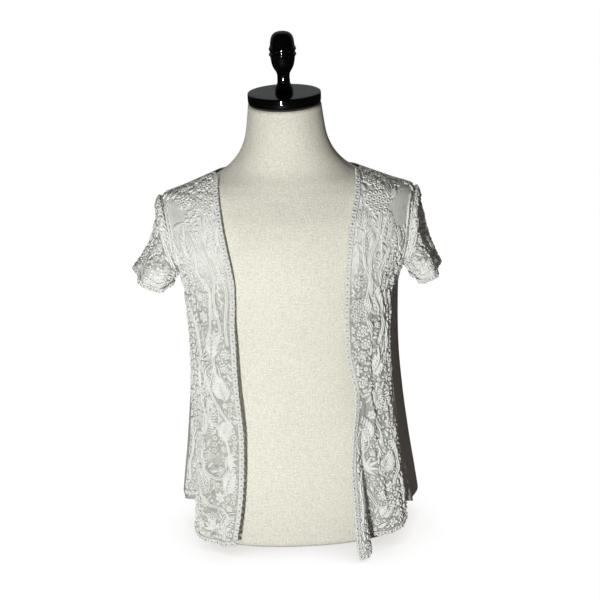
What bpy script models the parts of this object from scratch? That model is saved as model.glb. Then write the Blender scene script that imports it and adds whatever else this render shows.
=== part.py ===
"""Lace and knit shrug worn by a limbless dress form.

Metres, +Z up, front towards -Y, the form's flat bottom at z = 0 and its axis on Z.
"right" and "left" are the wearer's: the right front lies at -X, the left front at +X.
The front and back panels are walls worked out from one surface, cloth_point(angle, height):
level sections round the body, their angle 0 at the centre front, 90 at the side and 180 at
the centre back, with folds added to the sections' depth. Sleeves start from the panels'
armhole; edgings and bands are made from the points of the piece that they finish.
"""

import math
from collections import namedtuple

import bmesh
import bpy
import numpy as np
from mathutils import Vector

# --- driving dimensions, in metres and degrees ---
CAP_RADIUS = 0.0540
CAP_THICKNESS = 0.0182
NECK_TOP = 0.6585
NECK_LEAN = 5.0
CAP_GAP = 0.0004

CLOTH_WALL = 0.0012
SEAM_GAP = 0.0005
SIDE_GAP = 0.0009
ARMHOLE_GAP = 0.0006
SLEEVE_SEAM_GAP = 0.0003
SHOULDER_TIP = 0.5310
NECK_POINT = 0.5640
UNDERARM = 0.4100
HEM_START = 0.1400

# --- how finely the walls are divided ---
SHOULDER_ROWS = 6
ARMHOLE_STEP = 20
BODY_ROWS = 8
HEM_ROWS = 5
FORM_COLUMNS = 36
FORM_ROW_LENGTH = 0.042

EDGING_WIDTH = 0.0072
EDGING_THICKNESS = 0.0022
SCALLOP_PITCH = 0.0085
SCALLOP_DEPTH = 0.0014

SLEEVE_ROWS = 7
SLEEVE_COLUMNS = 36
ARMHOLE_BAND_THICKNESS = 0.0010
ARMHOLE_BAND_LIFT = 0.0007
BAND_START = 5

# --- sections of the form: half width, depth in front and behind, and squareness ---
Section = namedtuple("Section", "height half_width front back square")
FORM = (
    Section(0.000, 0.1550, 0.0970, 0.0940, 2.30),
    Section(0.004, 0.1575, 0.0995, 0.0965, 2.30),
    Section(0.060, 0.1600, 0.1030, 0.1020, 2.30),
    Section(0.140, 0.1540, 0.0990, 0.1000, 2.30),
    Section(0.220, 0.1410, 0.0930, 0.0880, 2.30),
    Section(0.290, 0.1340, 0.0920, 0.0800, 2.30),
    Section(0.350, 0.1380, 0.1000, 0.0820, 2.30),
    Section(0.410, 0.1470, 0.1085, 0.0880, 2.30),
    Section(0.450, 0.1530, 0.1050, 0.0900, 2.30),
    Section(0.490, 0.1600, 0.0935, 0.0880, 2.30),
    Section(0.512, 0.1635, 0.0825, 0.0830, 2.25),
    Section(0.524, 0.1620, 0.0755, 0.0780, 2.20),
    Section(0.534, 0.1560, 0.0705, 0.0735, 2.15),
    Section(0.541, 0.1455, 0.0665, 0.0700, 2.10),
    Section(0.548, 0.1310, 0.0630, 0.0665, 2.10),
    Section(0.558, 0.1080, 0.0575, 0.0610, 2.05),
    Section(0.567, 0.0925, 0.0545, 0.0575, 2.00),
    Section(0.580, 0.0780, 0.0525, 0.0555, 2.00),
    Section(0.595, 0.0675, 0.0520, 0.0540, 2.00),
    Section(0.615, 0.0600, 0.0518, 0.0530, 2.00),
    Section(0.640, 0.0562, 0.0520, 0.0525, 2.00),
    Section(NECK_TOP, 0.0540, 0.0525, 0.0525, 2.00),
)

# --- sections of the worn cloth's outer face, without its folds ---
CLOTH = (
    Section(0.000, 0.1880, 0.1420, 0.1220, 2.30),
    Section(0.080, 0.1780, 0.1340, 0.1160, 2.30),
    Section(0.140, 0.1700, 0.1280, 0.1100, 2.30),
    Section(0.210, 0.1630, 0.1220, 0.1040, 2.30),
    Section(0.300, 0.1590, 0.1180, 0.0980, 2.30),
    Section(0.380, 0.1610, 0.1170, 0.0960, 2.30),
    Section(0.420, 0.1690, 0.1160, 0.0970, 2.30),
    Section(0.460, 0.1840, 0.1110, 0.0980, 2.30),
    Section(0.500, 0.1905, 0.0985, 0.0950, 2.30),
    Section(0.516, 0.1900, 0.0885, 0.0885, 2.25),
    Section(SHOULDER_TIP, 0.1865, 0.0790, 0.0820, 2.20),
    Section(0.542, 0.1590, 0.0725, 0.0755, 2.15),
    Section(0.553, 0.1315, 0.0670, 0.0695, 2.10),
    Section(0.564, 0.1050, 0.0615, 0.0645, 2.05),
    Section(0.570, 0.0935, 0.0590, 0.0620, 2.00),
)

# --- where each front's inner edge runs: distance from the centre plane ---
EdgeRow = namedtuple("EdgeRow", "height right left")
FRONT_EDGE = (
    EdgeRow(0.000, 0.0952, 0.0670),
    EdgeRow(0.025, 0.0937, 0.0652),
    EdgeRow(0.056, 0.0888, 0.0670),
    EdgeRow(0.090, 0.0844, 0.0696),
    EdgeRow(0.124, 0.0816, 0.0710),
    EdgeRow(0.180, 0.0796, 0.0773),
    EdgeRow(0.213, 0.0814, 0.0822),
    EdgeRow(0.243, 0.0838, 0.0835),
    EdgeRow(0.271, 0.0854, 0.0789),
    EdgeRow(0.300, 0.0861, 0.0750),
    EdgeRow(0.350, 0.0862, 0.0743),
    EdgeRow(0.385, 0.0840, 0.0756),
    EdgeRow(0.410, 0.0834, 0.0773),
    EdgeRow(0.440, 0.0872, 0.0798),
    EdgeRow(0.475, 0.0937, 0.0849),
    EdgeRow(0.505, 0.0985, 0.0906),
    EdgeRow(0.525, 0.1010, 0.0960),
    EdgeRow(0.549, 0.1032, 0.1005),
    EdgeRow(0.564, 0.1032, 0.1010),
    EdgeRow(0.570, 0.1032, 0.1010),
)

# --- where a front ends at its armhole and its side seam, as an angle, and the back's armhole ---
BorderRow = namedtuple("BorderRow", "height front back")
SIDE_BORDER = (
    BorderRow(0.0000, 51.0, 62.0),
    BorderRow(0.0600, 60.5, 61.0),
    BorderRow(0.1000, 61.0, 61.0),
    BorderRow(0.2000, 60.0, 60.0),
    BorderRow(0.3200, 62.0, 62.0),
    BorderRow(0.3550, 66.0, 66.0),
    BorderRow(0.3850, 76.0, 76.0),
    BorderRow(UNDERARM, 90.0, 90.0),
    BorderRow(0.4136, 84.7, 96.0),
    BorderRow(0.4242, 79.0, 102.5),
    BorderRow(0.4402, 74.0, 107.7),
    BorderRow(0.4600, 70.6, 110.5),
    BorderRow(0.4810, 69.0, 110.9),
    BorderRow(0.5008, 70.3, 108.6),
    BorderRow(0.5168, 74.5, 104.6),
    BorderRow(0.5273, 81.4, 97.6),
    BorderRow(SHOULDER_TIP, 90.0, 90.0),
    BorderRow(0.5700, 90.0, 90.0),
)

# --- hems: the height of the lower border, by the share of the way round each piece ---
HemRow = namedtuple("HemRow", "share right left back")
HEM = (
    HemRow(0.00, 0.0255, 0.0105, 0.0570),
    HemRow(0.05, 0.0245, 0.0112, 0.0470),
    HemRow(0.12, 0.0235, 0.0135, 0.0410),
    HemRow(0.25, 0.0222, 0.0190, 0.0450),
    HemRow(0.50, 0.0218, 0.0270, 0.0520),
    HemRow(0.75, 0.0250, 0.0330, 0.0520),
    HemRow(0.88, 0.0310, 0.0365, 0.0560),
    HemRow(1.00, 0.0430, 0.0420, 0.0700),
)

# --- folds: soft troughs and ridges in a section's depth, growing from start down to the hem ---
Fold = namedtuple("Fold", "side angle lean start depth width")
FOLDS = (
    Fold("left", 19.0, 0.0, 0.21, 0.0360, 8.0),
    Fold("left", 33.0, 2.0, 0.22, -0.0150, 5.0),
    Fold("left", 44.0, 2.0, 0.26, 0.0130, 6.0),
    Fold("left", 57.0, 0.0, 0.30, -0.0060, 5.0),
    Fold("left", 52.0, 8.0, 0.46, -0.0050, 5.0),
    Fold("left", 72.0, 2.0, 0.34, 0.0060, 7.0),
    Fold("left", 86.0, 2.0, 0.34, -0.0050, 6.0),
    Fold("right", 30.0, 0.0, 0.30, 0.0050, 7.0),
    Fold("right", 42.0, 3.0, 0.34, -0.0050, 5.0),
    Fold("right", 53.0, 2.0, 0.30, 0.0060, 6.0),
    Fold("right", 66.0, 2.0, 0.36, -0.0050, 5.0),
    Fold("right", 78.0, 2.0, 0.34, 0.0060, 6.0),
    Fold("back", 108.0, 2.0, 0.34, 0.0080, 7.0),
    Fold("back", 122.0, 3.0, 0.36, -0.0080, 6.0),
    Fold("back", 138.0, 3.0, 0.30, 0.0100, 8.0),
    Fold("back", 155.0, 2.0, 0.28, -0.0060, 7.0),
    Fold("back", 180.0, 0.0, 0.30, 0.0090, 9.0),
    Fold("back", -157.0, 2.0, 0.32, -0.0070, 7.0),
    Fold("back", -140.0, 3.0, 0.36, 0.0090, 7.0),
    Fold("back", -124.0, 3.0, 0.30, -0.0070, 6.0),
    Fold("back", -107.0, 2.0, 0.34, 0.0080, 7.0),
)

# --- sleeves: each ring's outermost line, on the right and the left sleeve, its innermost line,
# --- and its depth either way ---
SleeveRow = namedtuple("SleeveRow", "share right_x right_z left_x left_z inner_x inner_z front back")
SLEEVE = (
    SleeveRow(0.00, 0.1865, 0.5310, 0.1865, 0.5310, 0.1665, 0.4100, 0.0430, 0.0400),
    SleeveRow(0.10, 0.1940, 0.5240, 0.1925, 0.5235, 0.1690, 0.4095, 0.0480, 0.0450),
    SleeveRow(0.25, 0.1975, 0.5080, 0.1970, 0.5050, 0.1710, 0.4090, 0.0515, 0.0490),
    SleeveRow(0.45, 0.2020, 0.4850, 0.2030, 0.4800, 0.1730, 0.4080, 0.0545, 0.0530),
    SleeveRow(0.65, 0.2085, 0.4640, 0.2080, 0.4560, 0.1750, 0.4065, 0.0570, 0.0555),
    SleeveRow(0.85, 0.2200, 0.4440, 0.2135, 0.4360, 0.1770, 0.4045, 0.0590, 0.0570),
    SleeveRow(1.00, 0.2305, 0.4290, 0.2190, 0.4215, 0.1785, 0.4025, 0.0600, 0.0580),
)
CUFF_DIP = 0.0100
CUFF_WAVES = 7
CUFF_WAVE_DEPTH = 0.0022
SLEEVE_FOLD_ANGLE = 62.0
SLEEVE_FOLD_WIDTH = 16.0
SLEEVE_FOLD_DEPTH = 0.0045

# --- turned profiles: height above the piece's foot, and radius ---
FINIAL = (
    (0.0000, 0.0000),
    (0.0000, 0.0132),
    (0.0014, 0.0138),
    (0.0045, 0.0138),
    (0.0088, 0.0124),
    (0.0118, 0.0098),
    (0.0150, 0.0093),
    (0.0260, 0.0091),
    (0.0300, 0.0110),
    (0.0345, 0.0139),
    (0.0400, 0.0163),
    (0.0480, 0.0176),
    (0.0520, 0.0181),
    (0.0545, 0.0202),
    (0.0562, 0.0200),
    (0.0590, 0.0179),
    (0.0618, 0.0198),
    (0.0645, 0.0200),
    (0.0672, 0.0180),
    (0.0760, 0.0173),
    (0.0818, 0.0156),
    (0.0855, 0.0127),
    (0.0880, 0.0080),
    (0.0889, 0.0000),
)
CAP = (
    (0.0000, 0.0000),
    (0.0000, CAP_RADIUS - 0.0030),
    (0.0030, CAP_RADIUS - 0.0006),
    (0.0080, CAP_RADIUS),
    (CAP_THICKNESS - 0.0014, CAP_RADIUS),
    (CAP_THICKNESS - 0.0004, CAP_RADIUS - 0.0005),
    (CAP_THICKNESS, CAP_RADIUS - 0.0016),
    (CAP_THICKNESS, 0.0000),
)

# --- each material's colour, roughness and metallic value ---
FINISHES = {
    "linen": ((0.74, 0.70, 0.60), 0.85, 0.0),
    "black_lacquer": ((0.012, 0.012, 0.013), 0.12, 0.0),
    "lace": ((0.80, 0.83, 0.80), 0.75, 0.0),
    "knit": ((0.76, 0.76, 0.73), 0.85, 0.0),
    "ring_edging": ((0.86, 0.88, 0.85), 0.70, 0.0),
}


# --- smooth reading of the tables ---
def smooth_read(heights, values, at):
    """Monotone cubic through a table's rows, so that no curve swings past its own rows."""
    heights, values = np.asarray(heights, float), np.asarray(values, float)
    at = np.clip(at, heights[0], heights[-1])
    slopes = np.diff(values) / np.diff(heights)
    tangents = np.zeros_like(values)
    same = slopes[:-1] * slopes[1:] > 0
    mean = 2 * slopes[:-1] * slopes[1:] / np.where(same, slopes[:-1] + slopes[1:], 1)
    tangents[1:-1] = np.where(same, mean, 0)
    tangents[0], tangents[-1] = slopes[0], slopes[-1]
    row = np.clip(np.searchsorted(heights, at, side="right") - 1, 0, len(slopes) - 1)
    span = heights[row + 1] - heights[row]
    t = (at - heights[row]) / span
    start = (1 + 2 * t) * (1 - t) ** 2 * values[row] + t * (1 - t) ** 2 * span * tangents[row]
    end = t * t * (3 - 2 * t) * values[row + 1] + t * t * (t - 1) * span * tangents[row + 1]
    return start + end


def column(table, name, at):
    """One named column of a table, read at a height or a share."""
    return smooth_read([row[0] for row in table], [getattr(row, name) for row in table], at)


def smooth_step(value, low, high):
    """0 below low, 1 above high, eased between."""
    t = np.clip((np.asarray(value, float) - low) / (high - low), 0, 1)
    return t * t * (3 - 2 * t)


# --- the two surfaces ---
def section_point(table, angle, height, deeper=0.0):
    """The point at an angle round one level section, 0 at the centre front."""
    width = column(table, "half_width", height)
    power = 2 / column(table, "square", height)
    turn = math.radians(angle)
    side, ahead = math.sin(turn), math.cos(turn)
    depth = column(table, "front" if ahead > 0 else "back", height)
    x = width * math.copysign(abs(side) ** power, side)
    y = -depth * math.copysign(abs(ahead) ** power, ahead)
    point = Vector((x, y, 0))
    if point.length > 0:
        point += point.normalized() * deeper
    return Vector((point.x, point.y, height))


def fold_depth(angle, height):
    """How far the folds push the cloth out, or draw it in, at one place."""
    total = 0.0
    for fold in FOLDS:
        turn = -angle if fold.side == "right" else angle
        drop = float(np.clip((fold.start - height) / fold.start, 0, 1))
        away = (turn - fold.angle + fold.lean * (1 - drop) + 180) % 360 - 180
        total += fold.depth * drop**1.4 * math.exp(-((away / fold.width) ** 2))
    return total


def cloth_point(angle, height):
    """A point of the worn cloth's outer face. Negative angles are the wearer's right."""
    return section_point(CLOTH, angle, height, fold_depth(angle, height))


def cloth_normal(angle, height):
    """The outward unit normal of the worn cloth's outer face."""
    step_angle, step_height = 0.5, 0.0005
    across = cloth_point(angle + step_angle, height) - cloth_point(angle - step_angle, height)
    up = cloth_point(angle, height + step_height) - cloth_point(angle, height - step_height)
    return np.array(across.cross(up).normalized())


def edge_angle(side, height):
    """The angle at which a front's inner edge lies."""
    reach = column(FRONT_EDGE, side, height) / column(CLOTH, "half_width", height)
    square = column(CLOTH, "square", height)
    return math.degrees(math.asin(min(1.0, float(reach)) ** (square / 2)))


# --- meshes ---
def add_object(name, mesh, finish, collection):
    """Puts a finished mesh in the collection, with its own material."""
    colour, roughness, metallic = FINISHES[finish]
    material = bpy.data.materials.new(name)
    material.use_nodes = True
    shader = material.node_tree.nodes["Principled BSDF"]
    shader.inputs["Base Color"].default_value = (*colour, 1)
    shader.inputs["Roughness"].default_value = roughness
    shader.inputs["Metallic"].default_value = metallic
    mesh.materials.append(material)
    piece = bpy.data.objects.new(name, mesh)
    collection.objects.link(piece)
    return piece


def grid_normals(grid, closed):
    """Unit normals of a grid of points, rows by columns, from its neighbours."""
    points = np.array([[tuple(p) for p in row] for row in grid])
    down = np.gradient(points, axis=0)
    if closed:
        across = (np.roll(points, -1, axis=1) - np.roll(points, 1, axis=1)) / 2
    else:
        across = np.gradient(points, axis=1)
    normals = np.cross(across, down)
    return points, normals / np.linalg.norm(normals, axis=2, keepdims=True)


def wall_mesh(name, outer, inner, closed):
    """A wall between two like grids of points. closed joins the last column to the first."""
    rows, columns = len(outer), len(outer[0])
    mesh = bmesh.new()
    faces = [[[mesh.verts.new(p) for p in row] for row in grid] for grid in (outer, inner)]
    steps = columns if closed else columns - 1
    for r in range(rows - 1):
        for c in range(steps):
            d = (c + 1) % columns
            for grid in faces:
                mesh.faces.new((grid[r][c], grid[r + 1][c], grid[r + 1][d], grid[r][d]))
    for r in (0, rows - 1):
        for c in range(steps):
            d = (c + 1) % columns
            mesh.faces.new((faces[0][r][c], faces[1][r][c], faces[1][r][d], faces[0][r][d]))
    if not closed:
        for c in (0, columns - 1):
            for r in range(rows - 1):
                mesh.faces.new(
                    (faces[0][r][c], faces[1][r][c], faces[1][r + 1][c], faces[0][r + 1][c])
                )
    return finish_mesh(name, mesh)


def finish_mesh(name, mesh):
    """Turns every face outwards and shades the mesh smooth."""
    bmesh.ops.recalc_face_normals(mesh, faces=mesh.faces)
    if mesh.calc_volume(signed=True) < 0:
        bmesh.ops.reverse_faces(mesh, faces=mesh.faces)
    data = bpy.data.meshes.new(name)
    mesh.to_mesh(data)
    mesh.free()
    data.shade_smooth()
    return data


# --- the form ---
def form_torso(collection, columns=FORM_COLUMNS, neck_rows=4):
    """The padded torso: level sections whose top few lean to meet the tilted cap."""
    heights = []
    for low, high in zip(FORM[:-1], FORM[1:]):
        parts = max(1, round((high.height - low.height) / FORM_ROW_LENGTH))
        heights += [low.height + (high.height - low.height) * i / parts for i in range(parts)]
    heights.append(NECK_TOP)
    lean_from = heights[-neck_rows]
    mesh = bmesh.new()
    rings = []
    for height in heights:
        lean = math.tan(math.radians(NECK_LEAN)) * smooth_step(height, lean_from, NECK_TOP)
        ring = []
        for c in range(columns):
            point = section_point(FORM, 360 * c / columns, height)
            point.z += point.y * float(lean)
            ring.append(mesh.verts.new(point))
        rings.append(ring)
    for low, high in zip(rings[:-1], rings[1:]):
        for c in range(columns):
            d = (c + 1) % columns
            mesh.faces.new((low[c], low[d], high[d], high[c]))
    mesh.faces.new(rings[0])
    mesh.faces.new(rings[-1])
    return add_object("form_torso", finish_mesh("form_torso", mesh), "linen", collection)


def turned(name, profile, foot, finish, collection, steps):
    """A turned piece: its profile, top to bottom at +X, spun by a Screw modifier."""
    mesh = bpy.data.meshes.new(name)
    points = [(radius, 0, height) for height, radius in reversed(profile)]
    edges = [(i, i + 1) for i in range(len(points) - 1)]
    mesh.from_pydata(points, edges, [])
    piece = add_object(name, mesh, finish, collection)
    screw = piece.modifiers.new("turn", "SCREW")
    screw.steps = screw.render_steps = steps
    screw.use_merge_vertices = True
    screw.merge_threshold = 0.0001
    screw.use_smooth_shade = True
    piece.location = foot
    piece.rotation_euler = (math.radians(NECK_LEAN), 0, 0)
    return piece


# --- panels ---
def armhole_height(turn):
    """The height on the armhole at a turn round it: 0 at the shoulder tip, 180 underneath."""
    return UNDERARM + (SHOULDER_TIP - UNDERARM) * (1 + math.cos(math.radians(turn))) / 2


def level_table(hem):
    """Row heights of a panel. All panels share those above the hem, so that seams meet."""
    shoulder = np.linspace(NECK_POINT - 0.0012, SHOULDER_TIP, SHOULDER_ROWS)[:-1]
    armhole = [armhole_height(turn) for turn in range(0, 180, ARMHOLE_STEP)]
    body = np.linspace(UNDERARM, HEM_START, BODY_ROWS)
    return np.concatenate([shoulder, armhole, body, np.linspace(HEM_START, hem, HEM_ROWS)[1:]])


def front_grid(side, columns=12):
    """The outer face of one front: rows from the shoulder seam down to the hem."""
    sign = -1 if side == "right" else 1
    lowest = min(row.right if side == "right" else row.left for row in HEM)
    grid = []
    for level in level_table(lowest):
        row = []
        for c in range(columns):
            share = c / (columns - 1)
            rise = column(HEM, side, share) - lowest
            height = level + rise * smooth_step(level, HEM_START, lowest)
            width = column(CLOTH, "half_width", height)
            inner = edge_angle(side, height)
            inner += math.degrees((EDGING_WIDTH + SEAM_GAP) / width)
            outer = column(SIDE_BORDER, "front", height) - math.degrees(SIDE_GAP / 2 / width)
            angle = inner + (max(outer, inner + 0.5) - inner) * share
            row.append((sign * float(angle), float(height)))
        grid.append(row if side == "left" else row[::-1])
    return grid


def back_grid(columns=27):
    """The outer face of the back, from the left armhole and side seam round to the right."""
    lowest = min(row.back for row in HEM)
    grid = []
    for level in level_table(lowest):
        row = []
        for c in range(columns):
            share = c / (columns - 1)
            rise = column(HEM, "back", share) - lowest
            height = level + rise * smooth_step(level, HEM_START, lowest)
            width = column(CLOTH, "half_width", height)
            side = column(SIDE_BORDER, "back", height) + math.degrees(SIDE_GAP / 2 / width)
            angle = side + (360 - 2 * side) * share
            row.append((float(angle), float(height)))
        grid.append(row)
    return grid


def panel(name, grid, finish, collection):
    """A panel: its outer face from a grid, its inner face one wall further in."""
    points = np.array([[tuple(cloth_point(*place)) for place in row] for row in grid])
    normals = np.array([[-cloth_normal(*place) for place in row] for row in grid])
    inner = points + normals * CLOTH_WALL
    add_object(name, wall_mesh(name, points, inner, closed=False), finish, collection)
    return points, normals


# --- sleeves ---
def armhole_place(side, turn):
    """The angle and height of the armhole's border at a turn: 0 at the tip, 180 underneath.

    The front half of the armhole has a positive turn.
    """
    sign = -1 if side == "right" else 1
    height = armhole_height(turn)
    border = column(SIDE_BORDER, "front" if math.sin(math.radians(turn)) > 0 else "back", height)
    return sign * float(border), height


def on_armhole(side, turn, read):
    """A value of the armhole's border, read on the straight stretches between panel rows."""
    low = math.floor(turn / ARMHOLE_STEP) * ARMHOLE_STEP
    share = (turn - low) / ARMHOLE_STEP
    near = np.array(read(*armhole_place(side, low)))
    far = np.array(read(*armhole_place(side, low + ARMHOLE_STEP)))
    return near * (1 - share) + far * share


def sleeve_point(side, turn, share):
    """A point of a sleeve's outer face: share 0 at the armhole, 1 at the cuff."""
    sign = -1 if side == "right" else 1
    around = math.radians(turn)

    def ring(at):
        """The flat ring at one share of the way down."""
        outward, ahead = math.cos(around), math.sin(around)
        outer_x, outer_z = column(SLEEVE, side + "_x", at), column(SLEEVE, side + "_z", at)
        inner_x, inner_z = column(SLEEVE, "inner_x", at), column(SLEEVE, "inner_z", at)
        x = (outer_x + inner_x) / 2 + outward * (outer_x - inner_x) / 2
        z = (outer_z + inner_z) / 2 + outward * (outer_z - inner_z) / 2
        y = -ahead * column(SLEEVE, "front" if ahead > 0 else "back", at)
        away = Vector((outward, -ahead, 0))
        fold = SLEEVE_FOLD_DEPTH * math.exp(-(((turn - SLEEVE_FOLD_ANGLE) / SLEEVE_FOLD_WIDTH) ** 2))
        wave = CUFF_WAVE_DEPTH * math.sin(CUFF_WAVES * around) + fold
        point = Vector((x, y, z - CUFF_DIP * at * at * ahead * ahead)) + away * wave * at * at
        return Vector((sign * point.x, point.y, point.z))

    border = Vector(on_armhole(side, turn, cloth_point))
    kept = 1 - float(smooth_step(share, 0, 0.45))
    return ring(share) + (border - ring(0)) * kept


def sleeve(side, collection):
    """One sleeve, an open tube in a front and a back half, with its face grid and normals.

    The grid starts and ends under the arm, so its first half is the back of the right sleeve
    and the front of the left one.
    """
    columns = SLEEVE_COLUMNS
    sign, halves = (1, ("back", "front")) if side == "right" else (-1, ("front", "back"))
    turns = [sign * (360 * c / columns - 180) for c in range(columns)]
    shares = np.linspace(0, 1, SLEEVE_ROWS) ** 0.9
    grid = [[sleeve_point(side, turn, float(share)) for turn in turns] for share in shares]
    points, normals = grid_normals(grid, closed=True)
    normals[0] = unit(np.array([-on_armhole(side, turn, cloth_normal) for turn in turns]))
    around = np.roll(points[0], -1, axis=0) - np.roll(points[0], 1, axis=0)
    points[0] += unit(np.cross(normals[0], around)) * ARMHOLE_GAP
    for number, half in enumerate(halves):
        reach = [(number * columns // 2 + c) % columns for c in range(columns // 2 + 1)]
        outer, facing = points[:, reach], normals[:, reach]
        for end, beside in ((0, 1), (-1, -2)):
            outer[:, end] += unit(outer[:, beside] - outer[:, end]) * SLEEVE_SEAM_GAP / 2
        name = f"sleeve_{side}_{half}"
        mesh = wall_mesh(name, outer, outer + facing * CLOTH_WALL, closed=False)
        add_object(name, mesh, "lace", collection)
    return points, normals


# --- edgings and bands, made from the points of the piece that they finish ---
def unit(vectors):
    """Each row of an array made one long."""
    return vectors / np.linalg.norm(vectors, axis=-1, keepdims=True)


def front_border(points, normals, inner_column):
    """The two runs of a front's edging: down its inner edge, and along its hem.

    A run is the border's points, the directions out of the panel and the normals there.
    """
    step = 1 if inner_column == 0 else -1
    edge = points[:, inner_column]
    edge_out = unit(edge - points[:, inner_column + step])
    hem = points[-1, ::step]
    hem_out = unit(hem - points[-2, ::step])
    corner_out = unit(edge_out[-1] + hem_out[0]) * math.sqrt(2)
    edge_out[-1], hem_out[0] = corner_out, corner_out
    return [(edge, edge_out, normals[:, inner_column]), (hem, hem_out, normals[-1, ::step])]


def even_stations(path, out, normals, closed):
    """A border re-divided into half scallops of even length, on its own straight chords."""
    if closed:
        path, out, normals = (np.vstack([part, part[:1]]) for part in (path, out, normals))
    length = np.concatenate([[0], np.cumsum(np.linalg.norm(np.diff(path, axis=0), axis=1))])
    count = 2 * max(2, round(length[-1] / SCALLOP_PITCH))
    at = np.linspace(0, length[-1], count + 1)
    if closed:
        at = at[:-1]

    def read(values):
        """The values at the even places along the path."""
        return np.stack([np.interp(at, length, values[:, axis]) for axis in range(3)], axis=1)

    return read(path), read(out), unit(read(normals))


def edging(name, runs, closed, collection):
    """A scalloped strip along a border, a seam gap away from it and thicker than the wall."""
    stations = [even_stations(*run, closed) for run in runs]
    joined = [stations[0]] + [[part[1:] for part in station] for station in stations[1:]]
    path, out, normals = (np.vstack(parts) for parts in zip(*joined))
    raised = (EDGING_THICKNESS - CLOTH_WALL) / 2
    scallop = np.where(np.arange(len(path)) % 2, 0, SCALLOP_DEPTH)[:, None]
    near, far = path + out * SEAM_GAP, path + out * (EDGING_WIDTH - scallop)
    outer = [near - normals * raised, far - normals * raised]
    inner = [near + normals * (CLOTH_WALL + raised), far + normals * (CLOTH_WALL + raised)]
    mesh = wall_mesh(name, outer, inner, closed)
    return add_object(name, mesh, "ring_edging", collection)


def armhole_band(side, points, normals, collection):
    """The lace band on a sleeve's head, open under the arm."""
    reach = range(BAND_START, SLEEVE_COLUMNS - BAND_START + 1)
    near, far = points[0] * 0.85 + points[1] * 0.15, points[0] * 0.05 + points[1] * 0.95
    across = np.roll(far + near, -1, axis=0) - np.roll(far + near, 1, axis=0)
    facing = unit(np.cross(across, far - near))
    rows, facing = np.array([near[reach], far[reach]]), np.array([facing[reach]] * 2)
    name = "armhole_band_" + side
    outer = rows - facing * (ARMHOLE_BAND_LIFT + ARMHOLE_BAND_THICKNESS)
    mesh = wall_mesh(name, outer, rows - facing * ARMHOLE_BAND_LIFT, closed=False)
    return add_object(name, mesh, "lace", collection)


def build():
    """Builds every piece."""
    for old in list(bpy.data.objects):
        bpy.data.objects.remove(old, do_unlink=True)
    parts = bpy.data.collections.new("shrug_on_dress_form")
    bpy.context.scene.collection.children.link(parts)
    form_torso(parts)
    lean = math.radians(NECK_LEAN)
    cap_foot = Vector((0, 0, NECK_TOP + CAP_GAP))
    turned("neck_cap", CAP, cap_foot, "black_lacquer", parts, 40)
    up = Vector((0, -math.sin(lean), math.cos(lean)))
    finial_foot = cap_foot + up * (CAP_THICKNESS + CAP_GAP)
    turned("finial", FINIAL, finial_foot, "black_lacquer", parts, 20)
    panel("back", back_grid(), "knit", parts)
    for side in ("right", "left"):
        points, normals = panel("front_" + side, front_grid(side), "lace", parts)
        inner_column = points.shape[1] - 1 if side == "right" else 0
        edging("edging_" + side, front_border(points, normals, inner_column), False, parts)
        points, normals = sleeve(side, parts)
        armhole_band(side, points, normals, parts)
        cuff = (points[-1], unit(points[-1] - points[-2]), normals[-1])
        edging("cuff_" + side, [cuff], True, parts)


build()
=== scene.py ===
"""Looks of a lace and knit shrug worn by a limbless dress form.

Metres, +Z up, front towards -Y, the form's flat bottom at z = 0 and its axis on Z.
"right" and "left" are the wearer's: the right front lies at -X, the left front at +X.
The cloth follows the same tables as the solids under it. Lace is drawn on a patch, a surface
read at two coordinates of its own: every cord, ring, leaf and disc is a low closed form that
stands on the net. Lace tables are in millimetres and degrees, all else in metres.
"""

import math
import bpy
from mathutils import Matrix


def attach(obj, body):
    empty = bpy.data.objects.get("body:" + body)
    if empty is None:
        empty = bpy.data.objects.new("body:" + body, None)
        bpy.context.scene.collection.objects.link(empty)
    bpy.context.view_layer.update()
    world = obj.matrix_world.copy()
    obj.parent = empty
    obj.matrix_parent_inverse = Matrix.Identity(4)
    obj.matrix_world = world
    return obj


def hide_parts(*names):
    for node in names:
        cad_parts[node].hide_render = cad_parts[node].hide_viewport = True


bl_info = {
    "name": "Lace shrug on a dress form",
    "version": (1, 0, 0),
    "blender": (4, 5, 0),
    "location": "3D View > Sidebar > Shrug",
    "description": "Builds a lace and knit shrug, its dress form and its stage",
    "category": "Add Mesh",
}

from collections import namedtuple

import bpy
import numpy as np
from mathutils import Matrix, Vector

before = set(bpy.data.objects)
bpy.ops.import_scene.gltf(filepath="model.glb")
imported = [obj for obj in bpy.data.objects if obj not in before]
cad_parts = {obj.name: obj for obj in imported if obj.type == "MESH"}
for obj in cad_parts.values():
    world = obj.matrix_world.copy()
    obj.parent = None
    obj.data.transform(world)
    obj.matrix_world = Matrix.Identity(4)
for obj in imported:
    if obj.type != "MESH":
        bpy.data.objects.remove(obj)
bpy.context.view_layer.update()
BODY = "root"
SIDES = ("right", "left")
SIGN = {"right": -1, "left": 1, "back": 1}

# --- sizes shared with the solids ---
CAP_RADIUS = 0.0540
CAP_THICKNESS = 0.0182
NECK_TOP = 0.6585
NECK_LEAN = 5.0
LEAN_START = 0.595
CAP_GAP = 0.0004
SEAM_GAP = 0.0005
SIDE_GAP = 0.0009
ARMHOLE_GAP = 0.0006
SHOULDER_TIP = 0.5310
NECK_POINT = 0.5640
UNDERARM = 0.4100
HEM_START = 0.1400
EDGING_WIDTH = 0.0072
BAND_LIFT = 0.0007
BAND_SHARES = (0.03, 0.19)
BAND_REACH = 130.0

# --- sizes that only the looks have ---
NET_WALL = 0.00035
NET_SINK = 0.0004
KNIT_WALL = 0.0010
CORD_SINK = 0.0006
DRAWN_STEP = 0.0025
PATCH_REACH = 0.150
MM = 0.001
FORM_COLUMNS = 144
FORM_ROW = 0.005
CAP_SEGMENTS = 128

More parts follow.
